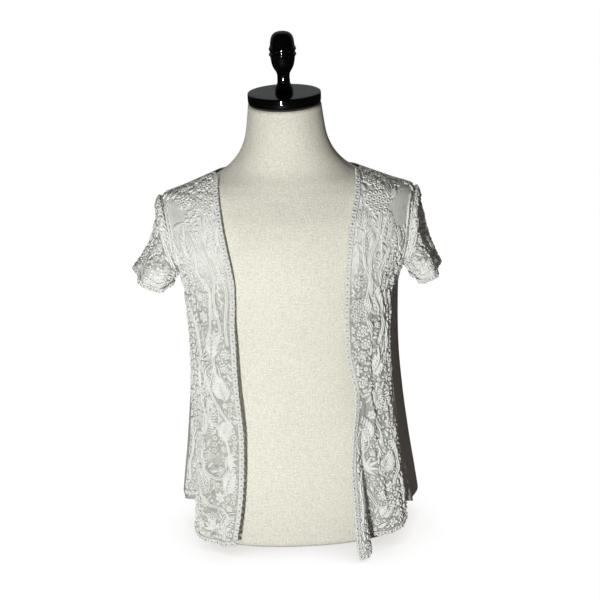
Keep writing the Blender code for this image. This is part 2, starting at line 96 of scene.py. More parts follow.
def table_of(kind, *values):
    """Rows of one kind, from their values in reading order."""
    width = len(kind._fields)
    return tuple(kind(*values[i : i + width]) for i in range(0, len(values), width))


# --- sections of the form: half width, depth in front and behind, and squareness ---
Section = namedtuple("Section", "height half_width front back square")
FORM = table_of(
    Section,
    0.000, 0.1550, 0.0970, 0.0940, 2.30,
    0.004, 0.1575, 0.0995, 0.0965, 2.30,
    0.060, 0.1600, 0.1030, 0.1020, 2.30,
    0.140, 0.1540, 0.0990, 0.1000, 2.30,
    0.220, 0.1410, 0.0930, 0.0880, 2.30,
    0.290, 0.1340, 0.0920, 0.0800, 2.30,
    0.350, 0.1380, 0.1000, 0.0820, 2.30,
    0.410, 0.1470, 0.1085, 0.0880, 2.30,
    0.450, 0.1530, 0.1050, 0.0900, 2.30,
    0.490, 0.1600, 0.0935, 0.0880, 2.30,
    0.512, 0.1635, 0.0825, 0.0830, 2.25,
    0.524, 0.1620, 0.0755, 0.0780, 2.20,
    0.534, 0.1560, 0.0705, 0.0735, 2.15,
    0.541, 0.1455, 0.0665, 0.0700, 2.10,
    0.548, 0.1310, 0.0630, 0.0665, 2.10,
    0.558, 0.1080, 0.0575, 0.0610, 2.05,
    0.567, 0.0925, 0.0545, 0.0575, 2.00,
    0.580, 0.0780, 0.0525, 0.0555, 2.00,
    0.595, 0.0675, 0.0520, 0.0540, 2.00,
    0.615, 0.0600, 0.0518, 0.0530, 2.00,
    0.640, 0.0562, 0.0520, 0.0525, 2.00,
    NECK_TOP, 0.0540, 0.0525, 0.0525, 2.00,
)

# --- sections of the worn cloth's outer face, without its folds ---
CLOTH = table_of(
    Section,
    0.000, 0.1880, 0.1420, 0.1220, 2.30,
    0.080, 0.1780, 0.1340, 0.1160, 2.30,
    0.140, 0.1700, 0.1280, 0.1100, 2.30,
    0.210, 0.1630, 0.1220, 0.1040, 2.30,
    0.300, 0.1590, 0.1180, 0.0980, 2.30,
    0.380, 0.1610, 0.1170, 0.0960, 2.30,
    0.420, 0.1690, 0.1160, 0.0970, 2.30,
    0.460, 0.1840, 0.1110, 0.0980, 2.30,
    0.500, 0.1905, 0.0985, 0.0950, 2.30,
    0.516, 0.1900, 0.0885, 0.0885, 2.25,
    SHOULDER_TIP, 0.1865, 0.0790, 0.0820, 2.20,
    0.542, 0.1590, 0.0725, 0.0755, 2.15,
    0.553, 0.1315, 0.0670, 0.0695, 2.10,
    0.564, 0.1050, 0.0615, 0.0645, 2.05,
    0.570, 0.0935, 0.0590, 0.0620, 2.00,
)

# --- where each front's inner edge runs: distance from the centre plane ---
EdgeRow = namedtuple("EdgeRow", "height right left")
FRONT_EDGE = table_of(
    EdgeRow,
    0.000, 0.0952, 0.0670,
    0.025, 0.0937, 0.0652,
    0.056, 0.0888, 0.0670,
    0.090, 0.0844, 0.0696,
    0.124, 0.0816, 0.0710,
    0.180, 0.0796, 0.0773,
    0.213, 0.0814, 0.0822,
    0.243, 0.0838, 0.0835,
    0.271, 0.0854, 0.0789,
    0.300, 0.0861, 0.0750,
    0.350, 0.0862, 0.0743,
    0.385, 0.0840, 0.0756,
    0.410, 0.0834, 0.0773,
    0.440, 0.0872, 0.0798,
    0.475, 0.0937, 0.0849,
    0.505, 0.0985, 0.0906,
    0.525, 0.1010, 0.0960,
    0.549, 0.1032, 0.1005,
    0.564, 0.1032, 0.1010,
    0.570, 0.1032, 0.1010,
)

# --- where a front and the back end at the armhole and the side seam, as angles ---
BorderRow = namedtuple("BorderRow", "height front back")
SIDE_BORDER = table_of(
    BorderRow,
    0.0000, 51.0, 62.0,
    0.0600, 60.5, 61.0,
    0.1000, 61.0, 61.0,
    0.2000, 60.0, 60.0,
    0.3200, 62.0, 62.0,
    0.3550, 66.0, 66.0,
    0.3850, 76.0, 76.0,
    UNDERARM, 90.0, 90.0,
    0.4136, 84.7, 96.0,
    0.4242, 79.0, 102.5,
    0.4402, 74.0, 107.7,
    0.4600, 70.6, 110.5,
    0.4810, 69.0, 110.9,
    0.5008, 70.3, 108.6,
    0.5168, 74.5, 104.6,
    0.5273, 81.4, 97.6,
    SHOULDER_TIP, 90.0, 90.0,
    0.5700, 90.0, 90.0,
)

# --- hems: the height of the lower border, by the share of the way round each piece ---
HemRow = namedtuple("HemRow", "share right left back")
HEM = table_of(
    HemRow,
    0.00, 0.0255, 0.0105, 0.0570,
    0.05, 0.0245, 0.0112, 0.0470,
    0.12, 0.0235, 0.0135, 0.0410,
    0.25, 0.0222, 0.0190, 0.0450,
    0.50, 0.0218, 0.0270, 0.0520,
    0.75, 0.0250, 0.0330, 0.0520,
    0.88, 0.0310, 0.0365, 0.0560,
    1.00, 0.0430, 0.0420, 0.0700,
)

# --- folds: soft troughs and ridges in a section's depth, growing from start down to the hem ---
Fold = namedtuple("Fold", "side angle lean start depth width")
FOLDS = table_of(
    Fold,
    "left", 19.0, 0.0, 0.21, 0.0360, 8.0,
    "left", 33.0, 2.0, 0.22, -0.0150, 5.0,
    "left", 44.0, 2.0, 0.26, 0.0130, 6.0,
    "left", 57.0, 0.0, 0.30, -0.0060, 5.0,
    "left", 52.0, 8.0, 0.46, -0.0050, 5.0,
    "left", 72.0, 2.0, 0.34, 0.0060, 7.0,
    "left", 86.0, 2.0, 0.34, -0.0050, 6.0,
    "right", 30.0, 0.0, 0.30, 0.0050, 7.0,
    "right", 42.0, 3.0, 0.34, -0.0050, 5.0,
    "right", 53.0, 2.0, 0.30, 0.0060, 6.0,
    "right", 66.0, 2.0, 0.36, -0.0050, 5.0,
    "right", 78.0, 2.0, 0.34, 0.0060, 6.0,
    "back", 108.0, 2.0, 0.34, 0.0080, 7.0,
    "back", 122.0, 3.0, 0.36, -0.0080, 6.0,
    "back", 138.0, 3.0, 0.30, 0.0100, 8.0,
    "back", 155.0, 2.0, 0.28, -0.0060, 7.0,
    "back", 180.0, 0.0, 0.30, 0.0090, 9.0,
    "back", -157.0, 2.0, 0.32, -0.0070, 7.0,
    "back", -140.0, 3.0, 0.36, 0.0090, 7.0,
    "back", -124.0, 3.0, 0.30, -0.0070, 6.0,
    "back", -107.0, 2.0, 0.34, 0.0080, 7.0,
)

# --- creases that only the looks have: centred on one angle above and on another below, with a
# --- width towards the front and one towards the back, fading in between two heights
Crease = namedtuple("Crease", "side high_angle low_angle start full depth ahead behind")

# the heights between which a crease passes from its high angle to its low one
CREASE_HIGH, CREASE_LOW = 0.26, 0.16

CREASES = table_of(
    Crease,
    "left", 47.0, 48.0, 0.44, 0.35, 0.0040, 6.0, 6.0,
    "left", 75.0, 76.0, 0.42, 0.37, -0.0085, 10.0, 10.0,
    "left", 104.0, 100.0, 0.40, 0.28, 0.0030, 8.0, 8.0,
    "left", 46.0, 43.0, 0.29, 0.19, -0.0085, 4.0, 4.2,
    "left", 42.0, 32.0, 0.33, 0.27, -0.0040, 2.6, 3.0,
    "left", 38.5, 41.0, 0.46, 0.40, 0.0036, 2.2, 2.6,
    "left", 55.0, 55.0, 0.24, 0.14, 0.0085, 7.0, 4.5,
    "left", 30.0, 26.0, 0.50, 0.44, 0.0036, 3.2, 3.6,
    "right", 50.0, 46.0, 0.42, 0.34, 0.0030, 7.0, 6.0,
    "right", 66.0, 72.0, 0.41, 0.33, -0.0055, 8.0, 13.0,
    "right", 104.0, 98.0, 0.38, 0.26, 0.0035, 8.0, 9.0,
    "left", 132.0, 128.0, 0.43, 0.30, -0.0060, 8.0, 11.0,
    "right", 146.0, 138.0, 0.44, 0.36, -0.0050, 10.0, 8.0,
    "left", 168.0, 160.0, 0.36, 0.22, 0.0045, 9.0, 8.0,
)

# --- fine crumples between two angles and two heights: their depth, and degrees from one to the next
Crumple = namedtuple("Crumple", "side first last low high depth pitch")
CRUMPLES = table_of(
    Crumple,
    "left", 35.0, 62.0, 0.05, 0.46, 0.0030, 5.2,
    "right", 34.0, 60.0, 0.04, 0.42, 0.0008, 6.0,
)

# --- sleeves: each ring's outermost line, on the right and the left sleeve, its innermost line,
# --- and its depth either way ---
SleeveRow = namedtuple("SleeveRow", "share right_x right_z left_x left_z inner_x inner_z front back")
SLEEVE = table_of(
    SleeveRow,
    0.00, 0.1865, 0.5310, 0.1865, 0.5310, 0.1665, 0.4100, 0.0430, 0.0400,
    0.10, 0.1940, 0.5240, 0.1925, 0.5235, 0.1690, 0.4095, 0.0480, 0.0450,
    0.25, 0.1975, 0.5080, 0.1970, 0.5050, 0.1710, 0.4090, 0.0515, 0.0490,
    0.45, 0.2020, 0.4850, 0.2030, 0.4800, 0.1730, 0.4080, 0.0545, 0.0530,
    0.65, 0.2085, 0.4640, 0.2080, 0.4560, 0.1750, 0.4065, 0.0570, 0.0555,
    0.85, 0.2200, 0.4440, 0.2135, 0.4360, 0.1770, 0.4045, 0.0590, 0.0570,
    1.00, 0.2305, 0.4290, 0.2190, 0.4215, 0.1785, 0.4025, 0.0600, 0.0580,
)
CUFF_DIP = 0.0100
CUFF_WAVES = 7
CUFF_WAVE_DEPTH = 0.0022
SLEEVE_FOLD_ANGLE = 62.0
SLEEVE_FOLD_WIDTH = 16.0
SLEEVE_FOLD_DEPTH = 0.0045

# --- where a sleeve falls flat behind the ridge at its front, in the looks only ---
HOLLOW_DEPTH = {"right": 0.0040, "left": 0.0140}
HOLLOW_TURN = 40.0
HOLLOW_WIDTH = 28.0
HOLLOW_STARTS, HOLLOW_ENDS = (0.08, 0.28), (0.50, 0.82)

# --- turned profiles: height above the piece's foot, and radius ---
FINIAL = (
    (0.0000, 0.0000),
    (0.0000, 0.0132),
    (0.0014, 0.0138),
    (0.0045, 0.0138),
    (0.0088, 0.0124),
    (0.0118, 0.0098),
    (0.0150, 0.0093),
    (0.0260, 0.0091),
    (0.0300, 0.0110),
    (0.0345, 0.0139),
    (0.0400, 0.0163),
    (0.0480, 0.0176),
    (0.0520, 0.0181),
    (0.0545, 0.0202),
    (0.0562, 0.0200),
    (0.0590, 0.0179),
    (0.0618, 0.0198),
    (0.0645, 0.0200),
    (0.0672, 0.0180),
    (0.0760, 0.0173),
    (0.0818, 0.0156),
    (0.0855, 0.0127),
    (0.0880, 0.0080),
    (0.0889, 0.0000),
)
CAP = (
    (0.0000, 0.0000),
    (0.0000, CAP_RADIUS - 0.0030),
    (0.0030, CAP_RADIUS - 0.0006),
    (0.0080, CAP_RADIUS),
    (CAP_THICKNESS - 0.0014, CAP_RADIUS),
    (CAP_THICKNESS - 0.0004, CAP_RADIUS - 0.0005),
    (CAP_THICKNESS, CAP_RADIUS - 0.0016),
    (CAP_THICKNESS, 0.0000),
)

# --- smooth reading of the tables ---
def smooth_read(heights, values, at):
    """Monotone cubic through a table's rows, so that no curve swings past its own rows."""
    heights, values = np.asarray(heights, float), np.asarray(values, float)
    at = np.clip(at, heights[0], heights[-1])
    slopes = np.diff(values) / np.diff(heights)
    tangents = np.zeros_like(values)
    same = slopes[:-1] * slopes[1:] > 0
    mean = 2 * slopes[:-1] * slopes[1:] / np.where(same, slopes[:-1] + slopes[1:], 1)
    tangents[1:-1] = np.where(same, mean, 0)
    tangents[0], tangents[-1] = slopes[0], slopes[-1]
    row = np.clip(np.searchsorted(heights, at, side="right") - 1, 0, len(slopes) - 1)
    span = heights[row + 1] - heights[row]
    t = (at - heights[row]) / span
    start = (1 + 2 * t) * (1 - t) ** 2 * values[row] + t * (1 - t) ** 2 * span * tangents[row]
    end = t * t * (3 - 2 * t) * values[row + 1] + t * t * (t - 1) * span * tangents[row + 1]
    return start + end


def column(table, name, at):
    """One named column of a table, read at heights or shares."""
    return smooth_read([row[0] for row in table], [getattr(row, name) for row in table], at)


def smooth_step(value, low, high):
    """0 below low, 1 above high, eased between."""
    t = np.clip((np.asarray(value, float) - low) / (high - low), 0, 1)
    return t * t * (3 - 2 * t)


def bell(away, width):
    """1 in the middle, falling off softly to either side."""
    return np.exp(-((away / width) ** 2))


def cos_sin(degrees):
    """The cosine and the sine of an angle in degrees."""
    return math.cos(math.radians(degrees)), math.sin(math.radians(degrees))


def half_turn(degrees):
    """Angles brought between -180 and 180."""
    return (degrees + 180) % 360 - 180


def unit(vectors):
    """Each vector of an array made one long."""
    return vectors / np.maximum(np.linalg.norm(vectors, axis=-1, keepdims=True), 1e-12)


# --- the surfaces ---
def section_points(table, angle, height, deeper=0.0):
    """Points at angles round level sections, 0 at the centre front."""
    angle, height = np.broadcast_arrays(np.asarray(angle, float), np.asarray(height, float))
    width = column(table, "half_width", height)
    power = 2 / column(table, "square", height)
    side, ahead = np.sin(np.radians(angle)), np.cos(np.radians(angle))
    depth = np.where(ahead > 0, column(table, "front", height), column(table, "back", height))
    x = width * np.sign(side) * np.abs(side) ** power
    y = -depth * np.sign(ahead) * np.abs(ahead) ** power
    reach = np.maximum(np.hypot(x, y), 1e-9)
    return np.stack([x * (1 + deeper / reach), y * (1 + deeper / reach), height], axis=-1)


def fold_depths(angle, height):
    """How far the folds push the cloth out, or draw it in."""
    total = np.zeros(np.broadcast(angle, height).shape)
    for fold in FOLDS:
        drop = np.clip((fold.start - height) / fold.start, 0, 1)
        away = half_turn(SIGN[fold.side] * angle - fold.angle + fold.lean * (1 - drop))
        total = total + fold.depth * drop**1.4 * bell(away, fold.width)
    for crease in CREASES:
        low = smooth_step(-height, -CREASE_HIGH, -CREASE_LOW)
        turned = (crease.low_angle - crease.high_angle) * low
        away = half_turn(SIGN[crease.side] * angle - crease.high_angle - turned)
        width = np.where(away < 0, crease.ahead, crease.behind)
        grown = smooth_step(-height, -crease.start, -crease.full)
        total = total + crease.depth * grown * bell(away, width)
    for row in CRUMPLES:
        turn = SIGN[row.side] * angle
        held = smooth_step(turn, row.first - 3, row.first + 3)
        held = held * smooth_step(-turn, -row.last - 3, -row.last)
        held = held * smooth_step(height, row.low - 0.03, row.low + 0.03)
        held = held * smooth_step(-height, -row.high, 0.05 - row.high)
        drift = 0.55 * np.sin(height * 31 + 1) + 0.3 * np.sin(height * 83) - height * 3.5
        uneven = 0.65 + 0.35 * np.sin(height * 55 + turn * 0.5)
        total = total + row.depth * held * uneven * np.sin(2 * math.pi * (turn / row.pitch + drift))
    return total


def cloth_points(angle, height):
    """Points of the worn cloth's outer face. Negative angles are the wearer's right."""
    return section_points(CLOTH, angle, height, fold_depths(angle, height))


def edge_angle(side, height):
    """The angle at which a front's inner edge lies."""
    reach = column(FRONT_EDGE, side, height) / column(CLOTH, "half_width", height)
    return np.degrees(np.arcsin(np.minimum(1.0, reach) ** (column(CLOTH, "square", height) / 2)))


def armhole_height(turn):
    """The height on the armhole at a turn round it: 0 at the shoulder tip, 180 underneath."""
    return UNDERARM + (SHOULDER_TIP - UNDERARM) * (1 + np.cos(np.radians(turn))) / 2


def sleeve_points(side, turn, share):
    """Points of a sleeve's outer face: share 0 at the armhole, 1 at the cuff."""
    sign = SIGN[side]
    turn, share = np.broadcast_arrays(np.asarray(turn, float), np.asarray(share, float))
    outward, ahead = np.cos(np.radians(turn)), np.sin(np.radians(turn))

    def ring(at):
        """The flat rings at the shares."""
        outer_x, outer_z = column(SLEEVE, side + "_x", at), column(SLEEVE, side + "_z", at)
        inner_x, inner_z = column(SLEEVE, "inner_x", at), column(SLEEVE, "inner_z", at)
        x = (outer_x + inner_x) / 2 + outward * (outer_x - inner_x) / 2
        z = (outer_z + inner_z) / 2 + outward * (outer_z - inner_z) / 2
        depth = np.where(ahead > 0, column(SLEEVE, "front", at), column(SLEEVE, "back", at))
        fold = SLEEVE_FOLD_DEPTH * bell(turn - SLEEVE_FOLD_ANGLE, SLEEVE_FOLD_WIDTH)
        wave = (CUFF_WAVE_DEPTH * np.sin(CUFF_WAVES * np.radians(turn)) + fold) * at * at
        flat = smooth_step(at, *HOLLOW_STARTS) * (1 - smooth_step(at, *HOLLOW_ENDS))
        wave = wave - HOLLOW_DEPTH[side] * flat * bell(turn - HOLLOW_TURN, HOLLOW_WIDTH)
        z = z - CUFF_DIP * at * at * ahead * ahead
        return np.stack([sign * (x + outward * wave), -ahead * (depth + wave), z], axis=-1)

    height = armhole_height(turn)
    front, back = (column(SIDE_BORDER, name, height) for name in ("front", "back"))
    border = cloth_points(sign * np.where(ahead > 0, front, back), height)
    kept = (1 - smooth_step(share, 0, 0.45))[..., None]
    points = ring(share) + (border - ring(np.zeros_like(share))) * kept
    points[..., 0] += sign * ARMHOLE_GAP * kept[..., 0]
    return points


def across_steps(points, wrap):
    """How far a grid's points move from one column to the next."""
    if wrap:
        return (np.roll(points, -1, axis=1) - np.roll(points, 1, axis=1)) / 2
    return np.gradient(points, axis=1)


def grid_normals(points, wrap):
    """Unit normals of a grid of points, from its neighbours."""
    return unit(np.cross(across_steps(points, wrap), np.gradient(points, axis=0)))


def path_lengths(points, axis=0):
    """How far each point of a path, or of each path in a grid, is along it."""
    steps = np.linalg.norm(np.diff(points, axis=axis), axis=-1)
    total = np.cumsum(steps, axis=axis)
    first = np.zeros_like(np.take(total, [0], axis=axis))
    return np.concatenate([first, total], axis=axis)


def closed_grid(points):
    """A grid with its first column again at its end."""
    return np.concatenate([points, points[:, :1]], axis=1)


class Patch:
    """A surface read at two even coordinates of its own: a across it, and b along it."""

    def __init__(self, across, along, points, outward, wrap=False):
        self.across, self.along, self.points, self.wrap = across, along, points, wrap
        normals = grid_normals(points, wrap)
        self.hand = 1 if np.sum(normals * outward) > 0 else -1
        self.normals = normals * self.hand
        self.by_a = across_steps(points, wrap) / (across[1] - across[0])
        self.by_b = np.gradient(points, axis=0) / (along[1] - along[0])

    def read(self, grid, a, b):
        """A grid's values at places, straight between its points."""
        rows, columns = grid.shape[:2]
        c = (np.asarray(a, float) - self.across[0]) / (self.across[1] - self.across[0])
        r = (np.asarray(b, float) - self.along[0]) / (self.along[1] - self.along[0])
        c = np.mod(c, columns) if self.wrap else np.clip(c, 0, columns - 1.001)
        r = np.clip(r, 0, rows - 1.001)
        c0, r0 = np.floor(c).astype(int) % columns, np.floor(r).astype(int)
        c1 = (c0 + 1) % columns
        to_c, to_r = (c - np.floor(c))[..., None], (r - r0)[..., None]
        low = grid[r0, c0] * (1 - to_c) + grid[r0, c1] * to_c
        high = grid[r0 + 1, c0] * (1 - to_c) + grid[r0 + 1, c1] * to_c
        return low * (1 - to_r) + high * to_r

    def lay(self, a, b, lift=0.0):
        """The points at places, raised by lift."""
        lift = np.asarray(lift, float)[..., None]
        return self.read(self.points, a, b) + self.read(self.normals, a, b) * lift

    def shift(self, a, b, move):
        """The coordinates that a small move in space leads to from each place."""
        by_a, by_b = self.read(self.by_a, a, b), self.read(self.by_b, a, b)
        aa, ab, bb = (np.sum(p * q, axis=-1) for p, q in ((by_a, by_a), (by_a, by_b), (by_b, by_b)))
        ma, mb = np.sum(by_a * move, axis=-1), np.sum(by_b * move, axis=-1)
        whole = np.maximum(aa * bb - ab * ab, 1e-14)
        return a + (bb * ma - ab * mb) / whole, b + (aa * mb - ab * ma) / whole

    def spot(self, a, b, turn=0.0):
        """A flat frame at a place: a function from its x and y, in metres, to coordinates.

        Its y points along b, turned towards a by turn degrees.
        """
        by_a, by_b = self.read(self.by_a, a, b), self.read(self.by_b, a, b)
        east = unit(by_a)
        north = unit(by_b - east * np.dot(by_b, east))
        cos, sin = cos_sin(turn)
        x_way, y_way = east * cos - north * sin, east * sin + north * cos

        def at(x, y):
            """The coordinates of a place in this frame."""
            x, y = np.broadcast_arrays(np.asarray(x, float), np.asarray(y, float))
            return self.shift(a, b, x[..., None] * x_way + y[..., None] * y_way)

        return at


# --- meshes ---
def add_piece(name, points, faces, uvs, materials, face_materials=None):
    """A mesh object from points, arrays of faces and one UV place a corner."""
    mesh = bpy.data.meshes.new(name)
    listed = [face for group in faces for face in group.tolist()]
    mesh.from_pydata(points.tolist(), [], listed)
    layer = mesh.uv_layers.new(name="surface")
    layer.data.foreach_set("uv", np.asarray(uvs, np.float32).ravel())
    for material in materials:
        mesh.materials.append(material)
    if face_materials is not None:
        mesh.polygons.foreach_set("material_index", face_materials)
    mesh.shade_smooth()
    piece = bpy.data.objects.new(name, mesh)
    bpy.context.scene.collection.objects.link(piece)
    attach(piece, BODY)
    return piece


def strip_quads(rows, columns, wrap, start=0):
    """The quads of a grid as point numbers, and as numbers into a grid one column wider."""
    steps = columns if wrap else columns - 1
    r, c = np.meshgrid(np.arange(rows - 1), np.arange(steps), indexing="ij")
    d = (c + 1) % columns
    quads = np.stack([r * columns + c, r * columns + d, (r + 1) * columns + d, (r + 1) * columns + c], -1)
    wide = columns + 1 if wrap else columns
    places = np.stack([r * wide + c, r * wide + c + 1, (r + 1) * wide + c + 1, (r + 1) * wide + c], -1)
    return quads.reshape(-1, 4) + start, places.reshape(-1, 4)


def cloth_wall(name, patch_points, outward, wall, sink, wrap, material):
    """A thin closed wall of cloth: a grid of points sunk by sink, and one wall further in."""
    normals = grid_normals(patch_points, wrap)
    hand = 1 if np.sum(normals * outward) > 0 else -1
    normals = normals * hand
    outer, inner = patch_points - normals * sink, patch_points - normals * (sink + wall)
    rows, columns = outer.shape[:2]
    closed = closed_grid(outer) if wrap else outer
    uv = np.stack([path_lengths(closed, 1), path_lengths(closed, 0)], axis=-1).reshape(-1, 2)
    quads, places = strip_quads(rows, columns, wrap)
    count = rows * columns
    if hand > 0:
        top, under = quads, quads[:, ::-1] + count
        top_uv, under_uv = places, places[:, ::-1]
    else:
        top, under = quads[:, ::-1], quads + count
        top_uv, under_uv = places[:, ::-1], places
    faces, corner_places = [top, under], [top_uv, under_uv]
    wide = closed.shape[1]
    steps = np.arange(wide - 1)
    rims = []
    for r in (0, rows - 1):
        near, far = r * columns + steps, r * columns + (steps + 1) % columns
        rims.append((near, far, r * wide + steps, r * wide + steps + 1, (r == 0) == (hand > 0)))
    if not wrap:
        down = np.arange(rows - 1)
        for c in (0, columns - 1):
            near, far = down * columns + c, (down + 1) * columns + c
            rims.append((near, far, down * wide + c, (down + 1) * wide + c, (c != 0) == (hand > 0)))
    for near, far, near_uv, far_uv, flip in rims:
        rim = np.stack([near, far, far + count, near + count], axis=-1)
        rim_uv = np.stack([near_uv, far_uv, far_uv, near_uv], axis=-1)
        faces.append(rim[:, ::-1] if flip else rim)
        corner_places.append(rim_uv[:, ::-1] if flip else rim_uv)
    points = np.concatenate([outer.reshape(-1, 3), inner.reshape(-1, 3)])
    corners = np.concatenate([part.reshape(-1) for part in corner_places])
    return add_piece(name, points, faces, uv[corners], [material])


# --- lace: low closed forms that stand on the net ---
# how a thread's or a leaf's section rises: places from one edge to the other, and their heights
CORD = np.array([(-1.0, 0.0), (-0.80, 0.80), (0.0, 1.0), (0.80, 0.80), (1.0, 0.0)])
THIN = np.array([(-1.0, 0.0), (-0.62, 0.95), (0.62, 0.95), (1.0, 0.0)])
LEAF = np.array([(-1.0, 0.0), (-0.82, 0.90), (0.0, 0.55), (0.82, 0.90), (1.0, 0.0)])
SIZE_STEP = 0.0015
ROOM_POINTS = 80000
CLUSTER_SHAKE = 0.0004
RIB_PITCH = 0.0042
RIB_WIDTH = 0.0030
RIB_LEAST = 0.002

# filling what room is left: how far a place is shaken, how wide the room has to be for a flower,
# for a ring or a leaf and for a small disc, and how far apart the places are for each
SHAKE = 0.4
FLOWER_ROOM, RING_ROOM, DISC_ROOM = 0.0052, 0.0030, 0.0015
FILL_STEPS = ((0.0065, FLOWER_ROOM), (0.0042, RING_ROOM), (0.0026, DISC_ROOM))
LARGEST_FLOWER = 0.0075


def shaken_places(rng, across, along, step_a, step_b):
    """Places of an even grid, each shaken by a share of its steps."""
    places = zip(np.meshgrid(np.arange(*across, step_a), np.arange(*along, step_b)), (step_a, step_b))
    return [part.ravel() + rng.uniform(-SHAKE, SHAKE, part.size) * step for part, step in places]


def round_turns(count):
    """Even turns all the way round, in radians."""
    return np.arange(count) * 2 * math.pi / count


class Lace:
    """Lacework gathered on one patch, and what room it has left."""

    def __init__(self, patch, inside, lift, settings):
        self.patch, self.inside, self.lift = patch, inside, lift
        self.height, self.thread = settings.cord_height, settings.cord_width
        self.ring_size = settings.ring_size
        self.points, self.uvs, self.faces, self.count = [], [], {3: [], 4: [], 5: [], 9: []}, 0
        self.taken, self.used = np.zeros((ROOM_POINTS, 4)), 0

    def keep(self, points, uvs, faces):
        """Adds one closed form."""
        self.points.append(points.reshape(-1, 3))
        self.uvs.append(uvs.reshape(-1, 2))
        for group in faces:
            self.faces[group.shape[1]].append(group + self.count)
        self.count += points.size // 3

    def stamp(self, points, radius):
        """Marks the room round points as taken."""
        points = points.reshape(-1, 3)
        self.taken[self.used : self.used + len(points), :3] = points
        self.taken[self.used : self.used + len(points), 3] = radius
        self.used += len(points)

    def room(self, a, b):
        """How far a place is from all that is drawn."""
        taken = self.taken[: self.used]
        if not len(taken):
            return 1.0
        return float(np.min(np.linalg.norm(taken[:, :3] - self.patch.lay(a, b), axis=1) - taken[:, 3]))

    def ribbon(self, a, b, half, height, section=CORD, closed=False, lift=0.0):
        """A thread or leaf along a path: half its width and its height at each point."""
        patch = self.patch
        middle, up = patch.lay(a, b), patch.read(patch.normals, a, b)
        if closed:
            ahead = np.roll(middle, -1, axis=0) - np.roll(middle, 1, axis=0)
        else:
            ahead = np.gradient(middle, axis=0)
        aside = unit(np.cross(up, ahead))
        half = np.broadcast_to(np.asarray(half, float), a.shape)
        height = np.broadcast_to(np.asarray(height, float), a.shape)
        places, rise = section[:, 0], section[:, 1]
        move = aside[:, None] * (half[:, None] * places)[..., None]
        wide_a, wide_b = patch.shift(a[:, None], b[:, None], move)
        if not self.inside(wide_a, wide_b).all():
            return False
        base = self.lift + lift - CORD_SINK
        points = patch.lay(wide_a, wide_b, base + (height[:, None] + CORD_SINK) * rise)
        along = path_lengths(middle)[:, None] + 0 * places
        uvs = np.stack([along, half[:, None] * places], axis=-1)
        rows, across = points.shape[:2]
        last = across - 1
        if closed:
            first = np.arange(rows)
            second = (first + 1) % rows
        else:
            first = np.arange(rows - 1)
            second = first + 1
        faces = []
        for j in range(last):
            faces.append(np.stack([first * across + j, second * across + j], -1))
            faces[-1] = np.concatenate([faces[-1], (faces[-1] + 1)[:, ::-1]], axis=-1)
        ends = np.stack([first * across + last, second * across + last], -1)
        faces.append(np.concatenate([ends, (ends - last)[:, ::-1]], axis=-1))
        faces = [np.concatenate(faces)]
        if not closed:
            caps = np.arange(across)
            faces += [caps[None], (caps + (rows - 1) * across)[None, ::-1]]
        self.keep(points, uvs, faces)
        self.stamp(middle, half)
        return True

    def sized(self, half, height):
        """Half a thread's width and its height, the usual ones where none are given."""
        return self.thread / 2 if half is None else half, self.height if height is None else height

    def cord(self, at, x, y, half=None, height=None, section=CORD, closed=False):
        """A thread along a path in a spot's own x and y."""
        return self.ribbon(*at(x, y), *self.sized(half, height), section, closed)

    def ring(self, at, x=0.0, y=0.0, radius=None, half=None, height=None, steps=12, section=THIN):
        """A ring of thread."""
        radius = self.ring_size / 2 if radius is None else radius
        turn = round_turns(steps)
        half = min(self.thread / 2, radius * 0.36) if half is None else half
        middle = radius - half
        path = at(x + middle * np.cos(turn), y + middle * np.sin(turn))
        height = self.height * 0.85 if height is None else height
        made = self.ribbon(*path, half, height, section, closed=True)
        if made:
            self.stamp(self.patch.lay(*at(x, y)), radius)
        return made

    def disc(self, at, x, y, radius, height=None, steps=9):
        """A low round disc of close stitches."""
        height = self.height * 0.8 if height is None else height
        turn = round_turns(steps) * self.patch.hand
        rings = [(1.0, 0.0), (0.72, 0.85)]
        spread = np.array([share for share, _ in rings])[:, None] * radius
        a, b = at(x + spread * np.cos(turn), y + spread * np.sin(turn))
        if not self.inside(a, b).all():
            return False
        base = self.lift - CORD_SINK
        rise = np.array([lift for _, lift in rings])[:, None] * (height + CORD_SINK)
        points = self.patch.lay(a, b, base + rise).reshape(-1, 3)
        top = self.patch.lay(*at(x, y), self.lift + height).reshape(1, 3)
        flat = np.stack([spread * np.cos(turn), spread * np.sin(turn)], axis=-1).reshape(-1, 2)
        first = np.arange(steps)
        second = (first + 1) % steps
        side = np.stack([first, second, second + steps, first + steps], axis=-1)
        crown = np.stack([first + steps, second + steps, np.full(steps, 2 * steps)], axis=-1)
        faces = [side, crown, first[None, ::-1]]
        self.keep(np.concatenate([points, top]), np.concatenate([flat, [[0.0, 0.0]]]), faces)
        self.stamp(top, radius)
        return True

    def leaf(self, at, x, y, turn, length, wide, section=LEAF, bend=0.0, steps=6, height=None):
        """A pointed leaf from its root, turned from y towards x."""
        t = np.linspace(0, 1, steps + 1)
        cos, sin = cos_sin(turn)
        aside = bend * np.sin(math.pi * t)
        half = wide / 2 * np.sin(math.pi * (0.05 + 0.93 * t) ** 0.85) ** 0.8
        height = self.height if height is None else height
        rise = height * (0.55 + 0.45 * np.sin(math.pi * t))
        path = at(x + sin * length * t + cos * aside, y + cos * length * t - sin * aside)
        made = self.ribbon(*path, half, rise, section)
        if made:
            self.stamp(self.patch.lay(*path), half)
        return made

    # --- motifs, each drawn round a spot ---
    def medallion(self, at, size):
        """A round flower: a ring and a disc, and a border of small discs."""
        for turn in round_turns(8):
            self.disc(at, 0.36 * size * math.sin(turn), 0.36 * size * math.cos(turn), 0.15 * size, steps=9)
        self.ring(at, radius=0.23 * size, half=0.07 * size, height=self.height * 1.15)
        self.disc(at, 0, 0, 0.10 * size, height=self.height)

